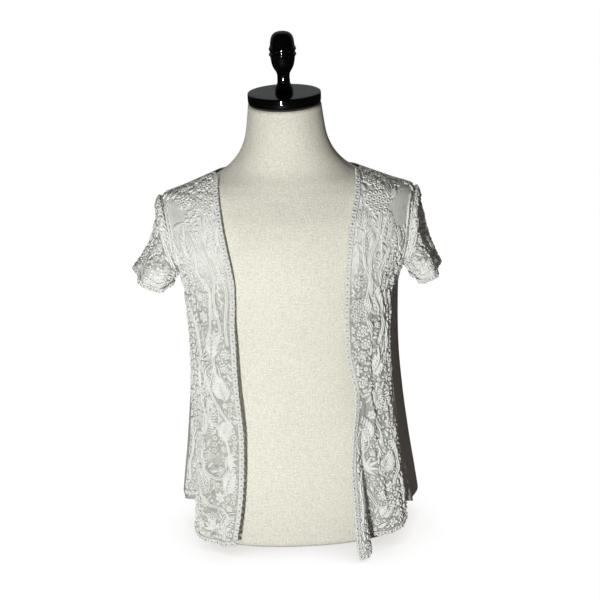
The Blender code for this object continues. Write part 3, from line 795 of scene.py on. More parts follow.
    def blossom(self, at, size, petals=6):
        """A flower of full petals round a ring."""
        for i in range(petals):
            turn = 360 / petals * i
            cos, sin = cos_sin(turn)
            root = 0.14 * size
            self.leaf(at, root * sin, root * cos, turn, 0.37 * size, 0.36 * size, CORD, steps=5)
        self.ring(at, radius=0.15 * size, height=self.height * 1.2)

    def rosette(self, at, size):
        """Small rings round a larger one."""
        self.ring(at, radius=0.19 * size, height=self.height)
        for turn in round_turns(7):
            x, y = 0.34 * size * math.sin(turn), 0.34 * size * math.cos(turn)
            self.ring(at, x, y, radius=0.145 * size, steps=10)

    def cluster(self, at, size, tall=None):
        """Rings set close, as in a comb, in an oval field."""
        tall = size if tall is None else tall
        pitch = self.ring_size * 1.02
        rows = int(tall / pitch) + 2
        for row in range(-rows, rows + 1):
            for place in range(-rows, rows + 1):
                x, y = (place + 0.5 * (row % 2)) * pitch, row * pitch * 0.88
                if (2 * x / size) ** 2 + (2 * y / tall) ** 2 <= 1:
                    x += CLUSTER_SHAKE * math.sin(7.0 * place + 3.0 * row)
                    y += CLUSTER_SHAKE * math.sin(5.0 * row - 4.0 * place)
                    self.ring(at, x, y)

    def lattice(self, at, length):
        """Two rows of small rings side by side."""
        pitch = self.ring_size * 0.78
        for i in range(int(length / pitch)):
            y = (i + 0.5) * pitch - length / 2
            for x in (-0.5, 0.5):
                self.ring(at, x * pitch, y + x * pitch * 0.5, radius=pitch * 0.52, steps=10)

    def spray(self, at, length, pairs=5, wide=0.42, lean=38):
        """A stalk with leaves on alternate sides, and one at its tip."""
        t = np.linspace(0, 1, max(5, int(length / 0.003)))
        bend = 0.06 * length
        self.cord(at, bend * np.sin(math.pi * t), 0.82 * length * t, half=self.thread * 0.3)
        self.leaf(at, 0, 0.74 * length, 0, 0.28 * length, 0.12 * length)
        for i in range(2 * pairs):
            share = (i + 0.6) / (2 * pairs + 0.6)
            side = 1 if i % 2 else -1
            x, y = bend * math.sin(math.pi * share), 0.80 * length * share
            reach = wide * length * (1 - 0.45 * share)
            x += side * self.thread * 0.35
            self.leaf(at, x, y, side * lean, reach, reach * 0.36, bend=side * reach * 0.05, steps=5)

    def palm(self, at, length):
        """A large open leaf: long lobes from a thick rib."""
        self.spray(at, length, pairs=6, wide=0.46, lean=44)

    def feather(self, at, length):
        """A large leaf with a corded border and slanting ribs."""
        wide = 0.30 * length
        t = np.linspace(0, 1, 13)
        half = wide * np.sin(math.pi * (0.02 + 0.96 * t)) ** 0.7
        for side in (-1, 1):
            self.cord(at, side * half, length * t, half=self.thread * 0.42)
        self.cord(at, 0 * t, length * t * 0.94, half=self.thread * 0.4)
        ribs = int(length / RIB_PITCH)
        for i in range(1, ribs):
            share = i / ribs
            reach = wide * math.sin(math.pi * min(0.98, share + 0.10)) ** 0.7 - self.thread
            for side in (-1, 1):
                if reach > RIB_LEAST:
                    root = side * self.thread * 0.5
                    turn = side * math.degrees(math.atan2(reach, RIB_PITCH * 1.3))
                    foot = length * share * 0.95
                    self.leaf(at, root, foot, turn, reach * 1.05, RIB_WIDTH, CORD, steps=4)

    def fan(self, at, size, lobes=5):
        """Leaves spread from one root."""
        for i in range(lobes):
            turn = (i - (lobes - 1) / 2) * 150 / lobes
            reach = size * (0.98 - 0.10 * abs(i - (lobes - 1) / 2))
            cos, sin = cos_sin(turn)
            self.leaf(at, 0.10 * size * sin, 0.10 * size * cos, turn, reach, reach * 0.30)
        self.ring(at, radius=0.11 * size)

    def leaf_pair(self, at, size):
        """Two leaves from one root."""
        for turn in (-32, 32):
            self.leaf(at, 0, 0, turn, size, size * 0.3)
        self.disc(at, 0, 0, size * 0.08)

    def curl(self, at, size):
        """A thread wound into a curl."""
        t = np.linspace(0, 1, 22)
        turn, reach = 2.0 * math.pi * 1.35 * t, size / 2 * (1 - 0.78 * t)
        self.cord(at, reach * np.sin(turn), reach * np.cos(turn), half=self.thread * 0.4)
        self.disc(at, 0, 0, size * 0.09)

    def draw(self, kind, a, b, size, turn=0.0):
        """One motif of the layout tables."""
        getattr(self, kind)(self.patch.spot(a, b, turn), size)

    # --- long lines ---
    def line(self, rows, step=SIZE_STEP):
        """A smooth path through a table's places, at even steps."""
        rows = np.asarray(rows, float)
        t = np.arange(len(rows))
        fine = np.linspace(0, len(rows) - 1, 40 * len(rows))
        path = np.stack([smooth_read(t, rows[:, 0], fine), smooth_read(t, rows[:, 1], fine)], axis=-1)
        reach = path_lengths(self.patch.lay(path[:, 0], path[:, 1]))
        even = np.linspace(0, reach[-1], max(3, int(reach[-1] / step)))
        return np.interp(even, reach, path[:, 0]), np.interp(even, reach, path[:, 1])

    def aside(self, a, b, offset):
        """The path that runs beside another, at its left for a positive offset."""
        middle = self.patch.lay(a, b)
        up = self.patch.read(self.patch.normals, a, b)
        left = unit(np.cross(up, np.gradient(middle, axis=0)))
        return self.patch.shift(a, b, left * np.asarray(offset)[..., None])

    def thread_line(self, a, b, half=None, height=None, section=CORD):
        """A long thread, drawn where the lace lies and left out beyond it."""
        half, height = self.sized(half, height)
        held = self.inside(*self.aside(a, b, half)) & self.inside(*self.aside(a, b, -half))
        start = 0
        for end in range(len(a) + 1):
            if end == len(a) or not held[end]:
                if end - start > 4:
                    t = np.arange(end - start)
                    taper = np.minimum(1, (0.4 + np.minimum(t, t[::-1])) / 3)
                    self.ribbon(a[start:end], b[start:end], half * taper, height * taper, section)
                start = end + 1

    def twin_line(self, rows, gap=0.0026):
        """Two threads that run side by side."""
        a, b = self.line(rows)
        for side in (-1, 1):
            self.thread_line(*self.aside(a, b, side * gap / 2), half=self.thread * 0.42)

    def ring_line(self, rows, radius=None):
        """Rings in a row."""
        radius = self.ring_size / 2 if radius is None else radius
        a, b = self.line(rows, step=radius * 2.02)
        for place in zip(a, b):
            self.ring(self.patch.spot(*place), radius=radius)

    def leafy_line(self, rows, leaf=0.008, step=0.006, lean=38):
        """A thread with leaves on alternate sides."""
        a, b = self.line(rows)
        self.thread_line(a, b, half=self.thread * 0.4)
        way = self.patch.lay(a, b)
        every = max(1, int(round(step / SIZE_STEP)))
        for i in range(2, len(a) - 2, every):
            side = 1 if (i // every) % 2 else -1
            at = self.patch.spot(a[i], b[i])
            ahead = way[i + 1] - way[i - 1]
            da, db = self.patch.shift(a[i], b[i], ahead)
            base = math.degrees(math.atan2(da - a[i], db - b[i]))
            self.leaf(at, 0, 0, base + side * lean, leaf, leaf * 0.38, steps=5)

    def fill(self, places, gap, share, seed):
        """Fills what room is left with flowers, leaves, rings and discs, largest first."""
        rng = np.random.default_rng(seed)
        for step, least in FILL_STEPS:
            a_all, b_all = places(step, rng)
            order = rng.permutation(len(a_all))
            for a, b in zip(a_all[order], b_all[order]):
                kept = share(a, b)
                free = self.room(a, b) - gap
                chance, pick, turn = rng.random(), rng.random(), rng.random()
                if free < least or chance > kept:
                    continue
                lean = 35 * math.sin(a * 90) + 28 * math.sin(b * 34) + 50 * (turn - 0.5)
                at = self.patch.spot(a, b, lean)
                if free > FLOWER_ROOM:
                    free = min(free, LARGEST_FLOWER)
                    if pick < 0.3:
                        self.blossom(at, 2 * free)
                    elif pick < 0.5:
                        self.medallion(at, 2 * free)
                    else:
                        self.leaf(at, 0, -free, 0, 2.1 * free, 0.8 * free, bend=0.001)
                elif free > RING_ROOM:
                    if pick < 0.35:
                        self.ring(at, radius=free)
                        self.disc(at, 0, 0, free * 0.3)
                    else:
                        self.leaf(at, 0, -free, 0, 2.3 * free, 0.9 * free, steps=5)
                elif pick < 0.4:
                    self.disc(at, 0, 0, free * 0.95, steps=9)
                else:
                    self.leaf(at, 0, -free, 0, 2.6 * free, 0.9 * free, CORD, steps=4)

    def piece(self, name, material, slot):
        """The gathered lacework as one mesh."""
        points, uvs = np.concatenate(self.points), np.concatenate(self.uvs)
        faces = [np.concatenate(group) for group in self.faces.values() if group]
        corners = np.concatenate([group.reshape(-1) for group in faces])
        return add_piece(name, points, faces, uvs[corners], [material])


# --- lace layout: millimetres from the front edge, millimetres of height, size, and turn ---
# turn is from upwards towards the side seam; on a sleeve, away is the turn round it in degrees,
# 0 at the shoulder and positive in front, and height is the share of its length in hundredths
Motif = namedtuple("Motif", "kind away height size turn")
FRONT_MOTIFS = {
    "right": table_of(
        Motif,
        "cluster", 24, 548, 26, 0, "rosette", 34, 526, 20, 0, "cluster", 17, 522, 18, 0,
        "cluster", 55, 528, 18, 0, "leaf_pair", 62, 500, 24, 150, "spray", 64, 446, 44, 12,
        "spray", 31, 470, 38, -18, "curl", 40, 494, 17, 0, "spray", 82, 452, 34, 30,
        "lattice", 76, 428, 44, 8, "medallion", 20, 424, 19, 0, "cluster", 47, 412, 26, 0,
        "cluster", 50, 388, 22, 0, "blossom", 64, 392, 18, 20, "rosette", 34, 368, 20, 0,
        "blossom", 54, 362, 19, 0, "palm", 66, 300, 46, 6, "medallion", 27, 333, 18, 0,
        "medallion", 17, 308, 17, 0, "medallion", 21, 286, 16, 0, "spray", 44, 300, 44, -12,
        "feather", 52, 246, 48, -14, "palm", 24, 236, 42, 20, "fan", 60, 236, 22, 200,
        "feather", 70, 178, 54, -24, "palm", 40, 176, 36, -34, "fan", 30, 150, 20, -120,
        "blossom", 78, 162, 19, 0, "rosette", 62, 150, 18, 0, "medallion", 74, 138, 15, 0,
        "feather", 62, 92, 44, 30, "palm", 30, 96, 40, -20, "fan", 80, 104, 20, 110,
        "blossom", 40, 88, 18, 0, "feather", 30, 36, 40, -38, "medallion", 66, 78, 17, 0,
        "rosette", 50, 56, 18, 0, "blossom", 70, 44, 18, 0, "cluster", 22, 34, 18, 0,
        "fan", 46, 36, 18, 20, "medallion", 84, 60, 15, 0,
    ),
    "left": table_of(
        Motif,
        "cluster", 22, 548, 24, 0, "cluster", 36, 520, 34, 0, "spray", 56, 522, 32, 24,
        "spray", 16, 488, 30, 10, "palm", 34, 452, 40, -6, "spray", 60, 462, 44, 12,
        "spray", 102, 440, 40, 16, "spray", 88, 452, 34, -14, "cluster", 80, 434, 26, 0,
        "lattice", 72, 410, 34, -10, "medallion", 22, 410, 19, 0, "cluster", 24, 368, 36, 0,
        "curl", 50, 430, 16, 0, "palm", 60, 356, 46, -8, "spray", 82, 352, 40, 12,
        "medallion", 30, 336, 20, 0, "medallion", 33, 316, 17, 0, "medallion", 26, 298, 18, 0,
        "blossom", 15, 278, 18, 0, "medallion", 20, 258, 19, 0, "palm", 44, 262, 40, 16,
        "spray", 66, 290, 44, 6, "blossom", 72, 276, 17, 0, "fan", 40, 240, 22, 160,
        "feather", 66, 208, 48, 10, "palm", 40, 168, 42, -26, "feather", 22, 146, 44, 16,
        "blossom", 76, 188, 17, 0, "rosette", 60, 158, 18, 0, "palm", 66, 112, 40, 22,
        "medallion", 90, 148, 16, 0, "fan", 36, 124, 22, 60, "feather", 44, 70, 42, -16,
        "blossom", 20, 108, 18, 0, "rosette", 24, 76, 19, 0, "medallion", 70, 82, 17, 0,
        "blossom", 88, 92, 18, 0, "fan", 92, 118, 18, -30, "palm", 78, 48, 30, 40,
        "medallion", 56, 46, 17, 0, "cluster", 30, 46, 20, 0, "blossom", 100, 66, 16, 0,
        "medallion", 14, 46, 15, 0,
    ),
}

# long lines down each front: pairs of distance from the edge and height
Line = namedtuple("Line", "kind places")
FRONT_LINES = {
    "right": table_of(
        Line,
        "twin_line", ((28, 512), (36, 470), (30, 430), (34, 390), (24, 345), (38, 300), (34, 262)),
        "twin_line", ((60, 490), (52, 462), (58, 430), (40, 396), (40, 350), (50, 322)),
        "twin_line", ((12, 470), (20, 440), (12, 400), (14, 350), (12, 320)),
        "leafy_line", ((16, 504), (22, 478), (18, 446), (26, 408), (20, 380)),
        "leafy_line", ((46, 486), (44, 452), (50, 428)),
        "ring_line", ((64, 268), (52, 236), (36, 206), (22, 188)),
        "ring_line", ((15, 232), (20, 206), (14, 176), (18, 146), (13, 112), (15, 84)),
        "twin_line", ((58, 278), (46, 244), (30, 214), (14, 196)),
        "twin_line", ((76, 246), (64, 208), (44, 196), (24, 160), (20, 130)),
        "ring_line", ((70, 216), (56, 204), (48, 176), (52, 150)),
        "twin_line", ((84, 196), (82, 160), (66, 124), (44, 116), (24, 118)),
        "ring_line", ((76, 124), (58, 112), (40, 104), (24, 88)),
        "twin_line", ((88, 118), (76, 92), (56, 74), (34, 70), (16, 58)),
        "leafy_line", ((80, 72), (64, 60), (40, 40), (20, 26)),
    ),
    "left": table_of(
        Line,
        "twin_line", ((44, 508), (46, 478), (38, 440), (44, 400), (40, 350), (52, 312)),
        "twin_line", ((28, 504), (22, 474), (28, 440), (40, 410), (36, 372), (46, 330), (42, 296)),
        "leafy_line", ((58, 508), (52, 474), (58, 436), (52, 396), (60, 364)),
        "twin_line", ((70, 456), (62, 420), (68, 380), (72, 340), (60, 300), (62, 262)),
        "twin_line", ((84, 410), (80, 372), (86, 330), (78, 290), (76, 250)),
        "leafy_line", ((14, 470), (18, 440), (12, 424)),
        "ring_line", ((46, 286), (56, 262), (54, 236), (60, 206)),
        "twin_line", ((34, 250), (50, 226), (52, 196), (62, 166), (58, 130)),
        "twin_line", ((12, 186), (26, 166), (30, 136), (18, 112), (22, 84), (12, 60)),
        "ring_line", ((78, 232), (74, 200), (82, 166), (78, 136)),
        "twin_line", ((92, 196), (88, 160), (100, 124), (94, 92)),
        "ring_line", ((50, 110), (62, 92), (82, 76), (98, 80)),
        "twin_line", ((36, 98), (52, 82), (70, 64), (92, 58)),
        "leafy_line", ((14, 100), (18, 72), (14, 44), (20, 26)),
    ),
}

# fields of bare net: the middle, and the widths across and up
Window = namedtuple("Window", "away height wide tall")
FRONT_WINDOWS = {
    "right": table_of(
        Window,
        84, 500, 56, 64, 34, 452, 12, 50, 70, 356, 20, 40, 62, 222, 14, 34, 34, 226, 16, 50,
        46, 140, 18, 26, 54, 62, 22, 14, 26, 70, 12, 16, 30, 272, 18, 22, 80, 300, 12, 40,
    ),
    "left": table_of(
        Window,
        82, 508, 46, 62, 17, 438, 16, 34, 50, 322, 12, 36, 20, 212, 24, 40, 38, 196, 14, 22,
        66, 236, 10, 30, 84, 376, 12, 40, 54, 140, 10, 22, 34, 480, 12, 26, 74, 62, 16, 10,
        88, 240, 16, 60,
    ),
}

# how much of the room is filled above one height and below another, by how wide a gap, and how
# the filling is seeded
BARE, BARE_HEIGHT = {"right": 0.45, "left": 0.50}, 0.40
FULL, FULL_HEIGHT = 0.92, 0.24
FRONT_GAP, SIDE_STRIP_GAP, SLEEVE_GAP = 0.0008, 0.0004, 0.0011
FRONT_SEED = {"right": 11, "left": 12}
SIDE_SEED, SLEEVE_SEED = 31, 21
FRONT_FIELD = (0.006, 0.140), (0.004, 0.566)

# the rings down a front's side seam, by their highest and lowest height and the step between
SEAM_RINGS = (0.395, 0.035, -0.0072)
SEAM_RING_INSET = 0.0042
SEAM_RING_RADIUS = 0.0034

# beside the armhole: heights, each cord's inset and half width, and leaves by turn, length, width
ARMHOLE_RUN = (0.428, 0.526, 0.002)
ARMHOLE_CORDS = ((0.0022, 0.0014), (0.0106, 0.0011))
ARMHOLE_LEAF_INSET = 0.0094
ARMHOLE_LEAF = (40, 0.0085, 0.0044)

# the lace past the right side seam: pairs of distance from the seam and height
SIDE_STRIP = 0.050
SIDE_STRIP_TOP = 0.385
SIDE_ROWS = (0.03, 0.40, 0.005)
SIDE_LINES = table_of(
    Line,
    "ring_line", ((3, 80), (12, 78), (24, 75), (36, 72), (43, 71)),
    "twin_line", ((6, 374), (10, 340), (6, 300), (14, 262), (8, 224), (16, 190)),
    "ring_line", ((28, 360), (24, 330), (30, 296), (26, 262), (34, 230), (28, 196), (34, 160)),
    "leafy_line", ((8, 180), (20, 150), (12, 122), (24, 96)),
    "twin_line", ((40, 190), (30, 150), (36, 118), (30, 92)),
)

# sleeves: away is the turn in degrees and height the share of the length in hundredths
SLEEVE_MOTIFS = table_of(
    Motif,
    "blossom", 28, 44, 20, 0, "blossom", 48, 62, 19, 30, "fan", 38, 88, 18, 180,
    "medallion", 66, 46, 17, 0, "rosette", 62, 84, 18, 0, "palm", 92, 34, 26, 150,
    "blossom", 88, 74, 19, 0, "medallion", 112, 52, 16, 0, "blossom", 118, 86, 15, 0,
    "rosette", 20, 78, 17, 0, "blossom", 4, 60, 18, 0, "medallion", -14, 82, 17, 0,
    "rosette", -26, 48, 17, 0, "blossom", -44, 74, 19, 0, "medallion", -64, 44, 17, 0,
    "fan", -70, 84, 17, 180, "blossom", -92, 66, 18, 0, "medallion", -116, 62, 15, 0,
    "rosette", -100, 34, 16, 0,
)
SLEEVE_WINDOWS = table_of(
    Window,
    10, 34, 26, 22, 50, 36, 22, 26, 76, 62, 14, 18, -46, 38, 24, 30, 104, 70, 14, 16, -82, 44, 16, 20,
    98, 54, 18, 26, 74, 74, 12, 14,
)


# --- node trees ---
def feed(tree, socket, value):
    """Links a socket to another, or sets its constant."""
    if isinstance(value, bpy.types.NodeSocket):
        tree.links.new(value, socket)
    else:
        socket.default_value = value


def place(tree, kind, inputs=None, **settings):
    """One node, with its settings, and its inputs linked or set."""
    made = tree.nodes.new(kind)
    for name, value in settings.items():
        setattr(made, name, value)
    for key, value in (inputs or {}).items():
        feed(tree, made.inputs[key], value)
    return made


def sums(tree, operation, *values):
    """The output of one Math node."""
    return place(tree, "ShaderNodeMath", dict(enumerate(values)), operation=operation).outputs[0]


def ramp(tree, value, low, high, to_low=0.0, to_high=1.0):
    """A value moved smoothly from one range to another."""
    inputs = {0: value, 1: low, 2: high, 3: to_low, 4: to_high}
    return place(tree, "ShaderNodeMapRange", inputs, interpolation_type="SMOOTHSTEP").outputs[0]


def noise(tree, vector, scale, detail=2.0, stretch=(1, 1, 1)):
    """Noise on a stretched vector."""
    moved = place(tree, "ShaderNodeMapping", {"Vector": vector, "Scale": stretch}).outputs[0]
    inputs = {"Vector": moved, "Scale": scale, "Detail": detail}
    return place(tree, "ShaderNodeTexNoise", inputs).outputs["Fac"]


def blended(tree, share, first, second):
    """Two colours mixed by a share."""
    mix = place(tree, "ShaderNodeMix", data_type="RGBA")
    for key, kind, value in (("Factor", "VALUE", share), ("A", "RGBA", first), ("B", "RGBA", second)):
        feed(tree, next(s for s in mix.inputs if s.name == key and s.type == kind), value)
    return next(s for s in mix.outputs if s.type == "RGBA")


def group_tree(name, inputs, outputs):
    """An empty node group with its sockets, and its two end nodes."""
    tree = bpy.data.node_groups.new(name, "ShaderNodeTree")
    for kind, socket_name, default in inputs:
        socket = tree.interface.new_socket(socket_name, in_out="INPUT", socket_type=kind)
        if default is not None:
            socket.default_value = default
    for kind, socket_name in outputs:
        tree.interface.new_socket(socket_name, in_out="OUTPUT", socket_type=kind)
    return tree, tree.nodes.new("NodeGroupInput").outputs, tree.nodes.new("NodeGroupOutput")


NET_SHAKE = (0.0012, 0.0012, 0.0)


def fine_net_group():
    """A six-sided net: where its threads run, and how high they stand."""
    sockets = (
        ("NodeSocketVector", "Place", None),
        ("NodeSocketFloat", "Cell", 0.002),
        ("NodeSocketFloat", "Cover", -0.4),
    )
    outs = (("NodeSocketFloat", "Thread"), ("NodeSocketFloat", "Height"))
    tree, given, end = group_tree("fine net", sockets, outs)
    shaken = place(tree, "ShaderNodeTexNoise", {"Vector": given["Place"], "Scale": 160.0, "Detail": 1.0})
    shift = {0: shaken.outputs["Color"], 1: NET_SHAKE}
    drift = place(tree, "ShaderNodeVectorMath", shift, operation="MULTIPLY").outputs[0]
    moved = place(tree, "ShaderNodeVectorMath", {0: given["Place"], 1: drift}, operation="ADD").outputs[0]
    parts = place(tree, "ShaderNodeSeparateXYZ", {0: moved}).outputs
    wave = sums(tree, "DIVIDE", 4 * math.pi / math.sqrt(3), given["Cell"])
    total = None
    for turn in (0, 60, 120):
        cos, sin = cos_sin(turn)
        across = sums(tree, "MULTIPLY", parts[1], sin)
        along = sums(tree, "ADD", sums(tree, "MULTIPLY", parts[0], cos), across)
        part = sums(tree, "COSINE", sums(tree, "MULTIPLY", along, wave))
        total = part if total is None else sums(tree, "ADD", total, part)
    edge = sums(tree, "SUBTRACT", given["Cover"], total)
    tree.links.new(ramp(tree, edge, -0.12, 0.12), end.inputs["Thread"])
    tree.links.new(ramp(tree, edge, -0.2, 1.1), end.inputs["Height"])
    return tree


def spun_thread_group():
    """Twist and loose fibres of a spun thread, as a height."""
    sockets = (
        ("NodeSocketVector", "Place", None),
        ("NodeSocketFloat", "Twist", 0.0009),
        ("NodeSocketFloat", "Fibres", 0.35),
    )
    tree, given, end = group_tree("spun thread", sockets, (("NodeSocketFloat", "Height"),))
    parts = place(tree, "ShaderNodeSeparateXYZ", {0: given["Place"]}).outputs
    slant = sums(tree, "ADD", parts[0], sums(tree, "MULTIPLY", parts[1], 0.9))
    turns = sums(tree, "MULTIPLY", sums(tree, "DIVIDE", slant, given["Twist"]), 2 * math.pi)
    ply = sums(tree, "MULTIPLY_ADD", sums(tree, "SINE", turns), 0.5, 0.5)
    fuzz = noise(tree, given["Place"], 3200.0, 2.0, (1.0, 0.4, 1.0))
    height = sums(tree, "ADD", ply, sums(tree, "MULTIPLY", fuzz, given["Fibres"]))
    tree.links.new(height, end.inputs["Height"])
    return tree


def cloth_tone_group():
    """Uneven tone of handled cloth: soft clouds and fine flecks between two colours."""
    sockets = (
        ("NodeSocketVector", "Place", None),
        ("NodeSocketColor", "Light", (0.8, 0.8, 0.8, 1)),
        ("NodeSocketColor", "Dark", (0.7, 0.7, 0.7, 1)),
        ("NodeSocketFloat", "Fleck Scale", 900.0),
        ("NodeSocketFloat", "Fleck", 0.5),
    )
    tree, given, end = group_tree("cloth tone", sockets, (("NodeSocketColor", "Colour"),))
    clouds = ramp(tree, noise(tree, given["Place"], 22.0, 3.0), 0.35, 0.70)
    moved = place(tree, "ShaderNodeTexNoise", {"Vector": given["Place"], "Scale": given["Fleck Scale"]})
    fleck = sums(tree, "MULTIPLY", ramp(tree, moved.outputs["Fac"], 0.40, 0.68), given["Fleck"])
    both = {0: sums(tree, "MULTIPLY", clouds, 0.45), 1: fleck}
    share = place(tree, "ShaderNodeMath", both, operation="ADD", use_clamp=True).outputs[0]
    tree.links.new(blended(tree, share, given["Light"], given["Dark"]), end.inputs["Colour"])
    return tree


def groups():
    """The shared node groups, built once."""
    builds = {"fine net": fine_net_group, "spun thread": spun_thread_group, "cloth tone": cloth_tone_group}
    return {name: bpy.data.node_groups.get(name) or build() for name, build in builds.items()}


def use_group(tree, name, inputs):
    """A shared group placed in a material with its own values."""
    return place(tree, "ShaderNodeGroup", inputs, node_tree=groups()[name]).outputs


def darker(colour, share):
    """A colour of the settings, dimmed, with its alpha."""
    return (*(part * share for part in colour), 1.0)


def start_material(name, roughness, sheen=0.0):
    """A material with its shader, and what its patterns read."""
    material = bpy.data.materials.new(name)
    material.use_nodes = True
    tree = material.node_tree
    tree.nodes.clear()
    shader = place(tree, "ShaderNodeBsdfPrincipled", {"Roughness": roughness, "Sheen Weight": sheen})
    out = place(tree, "ShaderNodeOutputMaterial")
    tree.links.new(shader.outputs[0], out.inputs[0])
    uv = place(tree, "ShaderNodeUVMap", uv_map="surface").outputs[0]
    where = place(tree, "ShaderNodeTexCoord").outputs["Object"]
    return material, tree, shader, uv, where


def toned(tree, where, colour, dark, fleck, light=None):
    """Uneven tone between a colour, or the lighter one given, and the same colour dimmed."""
    light = (*colour, 1) if light is None else light
    tone = {"Place": where, "Light": light, "Dark": darker(colour, dark), "Fleck": fleck}
    return use_group(tree, "cloth tone", tone)["Colour"]


def raise_bump(tree, shader, height, distance, strength=1.0):
    """A height taken to the shader's normal."""
    bump = place(tree, "ShaderNodeBump", {"Strength": strength, "Distance": distance, "Height": height})
    tree.links.new(bump.outputs[0], shader.inputs["Normal"])


def thread_material(name, colour, twist):
    """Matte spun thread, for lace cords and rings."""
    material, tree, shader, uv, where = start_material(name, roughness=0.78, sheen=0.45)
    tree.links.new(toned(tree, where, colour, dark=0.86, fleck=0.35), shader.inputs["Base Color"])
    spun = use_group(tree, "spun thread", {"Place": uv, "Twist": twist})["Height"]
    raise_bump(tree, shader, spun, distance=0.00035, strength=0.8)
    return material


NET_SLANT = 0.6
# heights where the net turns closer, and turns to a lighter colour that is painted light on the shoulders
YOKE = (0.37, 0.46)


def net_material(name, colour, cell, cover, yoke_painted_light_colour, yoke_cover):
    """Fine net, closing up where it is seen or lit at a slant, and closer over the shoulders, where its
    colour is painted lighter as painted light.
    """
    material, tree, shader, uv, where = start_material(name, roughness=0.85, sheen=0.7)
    height = place(tree, "ShaderNodeSeparateXYZ", {0: where}).outputs[2]
    # painted light: the net's colour turns lighter over the shoulders
    light = blended(tree, ramp(tree, height, *YOKE), (*colour, 1), (*yoke_painted_light_colour, 1))
    tone = toned(tree, where, colour, dark=0.92, fleck=0.3, light=light)
    tree.links.new(tone, shader.inputs["Base Color"])
    covers = ramp(tree, height, *YOKE, cover, yoke_cover)
    net = use_group(tree, "fine net", {"Place": uv, "Cell": cell, "Cover": covers})
    slant = place(tree, "ShaderNodeLayerWeight", {"Blend": 0.5}).outputs["Facing"]
    inputs = {0: slant, 1: NET_SLANT, 2: net["Thread"]}
    closed = place(tree, "ShaderNodeMath", inputs, operation="MULTIPLY_ADD", use_clamp=True)
    tree.links.new(closed.outputs[0], shader.inputs["Alpha"])
    raise_bump(tree, shader, net["Height"], distance=0.0004, strength=0.7)
    return material


# how noise is stretched across a cloth and along it
KNIT_STREAKS = (210.0, 9.0, 1.0)
THREAD_WANDER = (420.0, 420.0, 1.0)
WEFT_SLUBS = (90.0, 620.0, 1.0)
WARP_SLUBS = (620.0, 80.0, 1.0)
LINEN_GRAIN = (380.0, 440.0, 1.0)


def knit_material(colour, wale):
    """Fine plain knit: columns of small slanting stitches, darkened in their hollows as painted shade."""
    material, tree, shader, uv, where = start_material("plain knit", roughness=0.88, sheen=0.15)
    parts = place(tree, "ShaderNodeSeparateXYZ", {0: uv}).outputs
    turn = sums(tree, "SUBTRACT", sums(tree, "FRACT", sums(tree, "DIVIDE", parts[0], wale)), 0.5)
    side = sums(tree, "ABSOLUTE", turn)
    slant = sums(tree, "MULTIPLY", side, -1.3)
    rise = sums(tree, "ADD", sums(tree, "DIVIDE", parts[1], wale * 0.8), slant)
    beat = sums(tree, "SINE", sums(tree, "MULTIPLY", rise, 2 * math.pi))
    stitch = sums(tree, "MULTIPLY_ADD", beat, 0.5, 0.5)
    legs = sums(tree, "SINE", sums(tree, "MULTIPLY", side, 2 * math.pi))
    height = sums(tree, "MULTIPLY", legs, sums(tree, "MULTIPLY_ADD", stitch, 0.7, 0.3))
    streaks = ramp(tree, noise(tree, uv, 1.0, 3.0, KNIT_STREAKS), 0.38, 0.66)
    even = toned(tree, where, colour, dark=0.88, fleck=0.3)
    streaked = blended(tree, sums(tree, "MULTIPLY", streaks, 0.6), even, darker(colour, 0.80))
    # painted shade: the stitches' low parts take a darker colour by their height
    painted_stitch_shade = blended(tree, sums(tree, "MULTIPLY", height, 0.4), darker(colour, 0.72), streaked)
    tree.links.new(painted_stitch_shade, shader.inputs["Base Color"])
    seen = sums(tree, "ADD", height, sums(tree, "MULTIPLY", noise(tree, uv, 2600.0), 0.4))
    raise_bump(tree, shader, seen, distance=0.0004, strength=0.7)
    return material


def linen_material(colour, pitch):
    """Plain-woven linen with slubs and pale and dark flecks."""
    material, tree, shader, uv, where = start_material("linen cover", roughness=0.9, sheen=0.1)
    parts = place(tree, "ShaderNodeSeparateXYZ", {0: uv}).outputs
    wander = sums(tree, "MULTIPLY", noise(tree, uv, 1.0, 2.0, THREAD_WANDER), pitch * 0.9)
    over, under = (
        sums(tree, "SINE", sums(tree, "MULTIPLY", sums(tree, "ADD", part, wander), math.pi / pitch))
        for part in (parts[0], parts[1])
    )
    weave = sums(tree, "MULTIPLY_ADD", sums(tree, "MULTIPLY", over, under), 0.5, 0.5)
    ways = (WEFT_SLUBS, WARP_SLUBS)
    weft, warp = (ramp(tree, noise(tree, uv, 1.0, 3.0, way), 0.46, 0.70) for way in ways)
    slubs = sums(tree, "MAXIMUM", weft, warp)
    grain = noise(tree, uv, 1.0, 3.0, LINEN_GRAIN)
    even = toned(tree, where, colour, dark=0.93, fleck=0.15)
    pale = tuple(min(1.0, part * 1.22) for part in colour) + (1.0,)
    flecked = blended(tree, sums(tree, "MULTIPLY", slubs, 0.60), even, darker(colour, 0.74))
    bright = blended(tree, ramp(tree, grain, 0.48, 0.70, 0.0, 0.75), flecked, pale)
    tree.links.new(bright, shader.inputs["Base Color"])
    height = sums(tree, "ADD", weave, sums(tree, "MULTIPLY", slubs, 0.8))
    raise_bump(tree, shader, height, distance=0.0004, strength=0.6)
    return material


TURNING = 57.0
DUST_COLOUR = (0.05, 0.048, 0.045, 1)


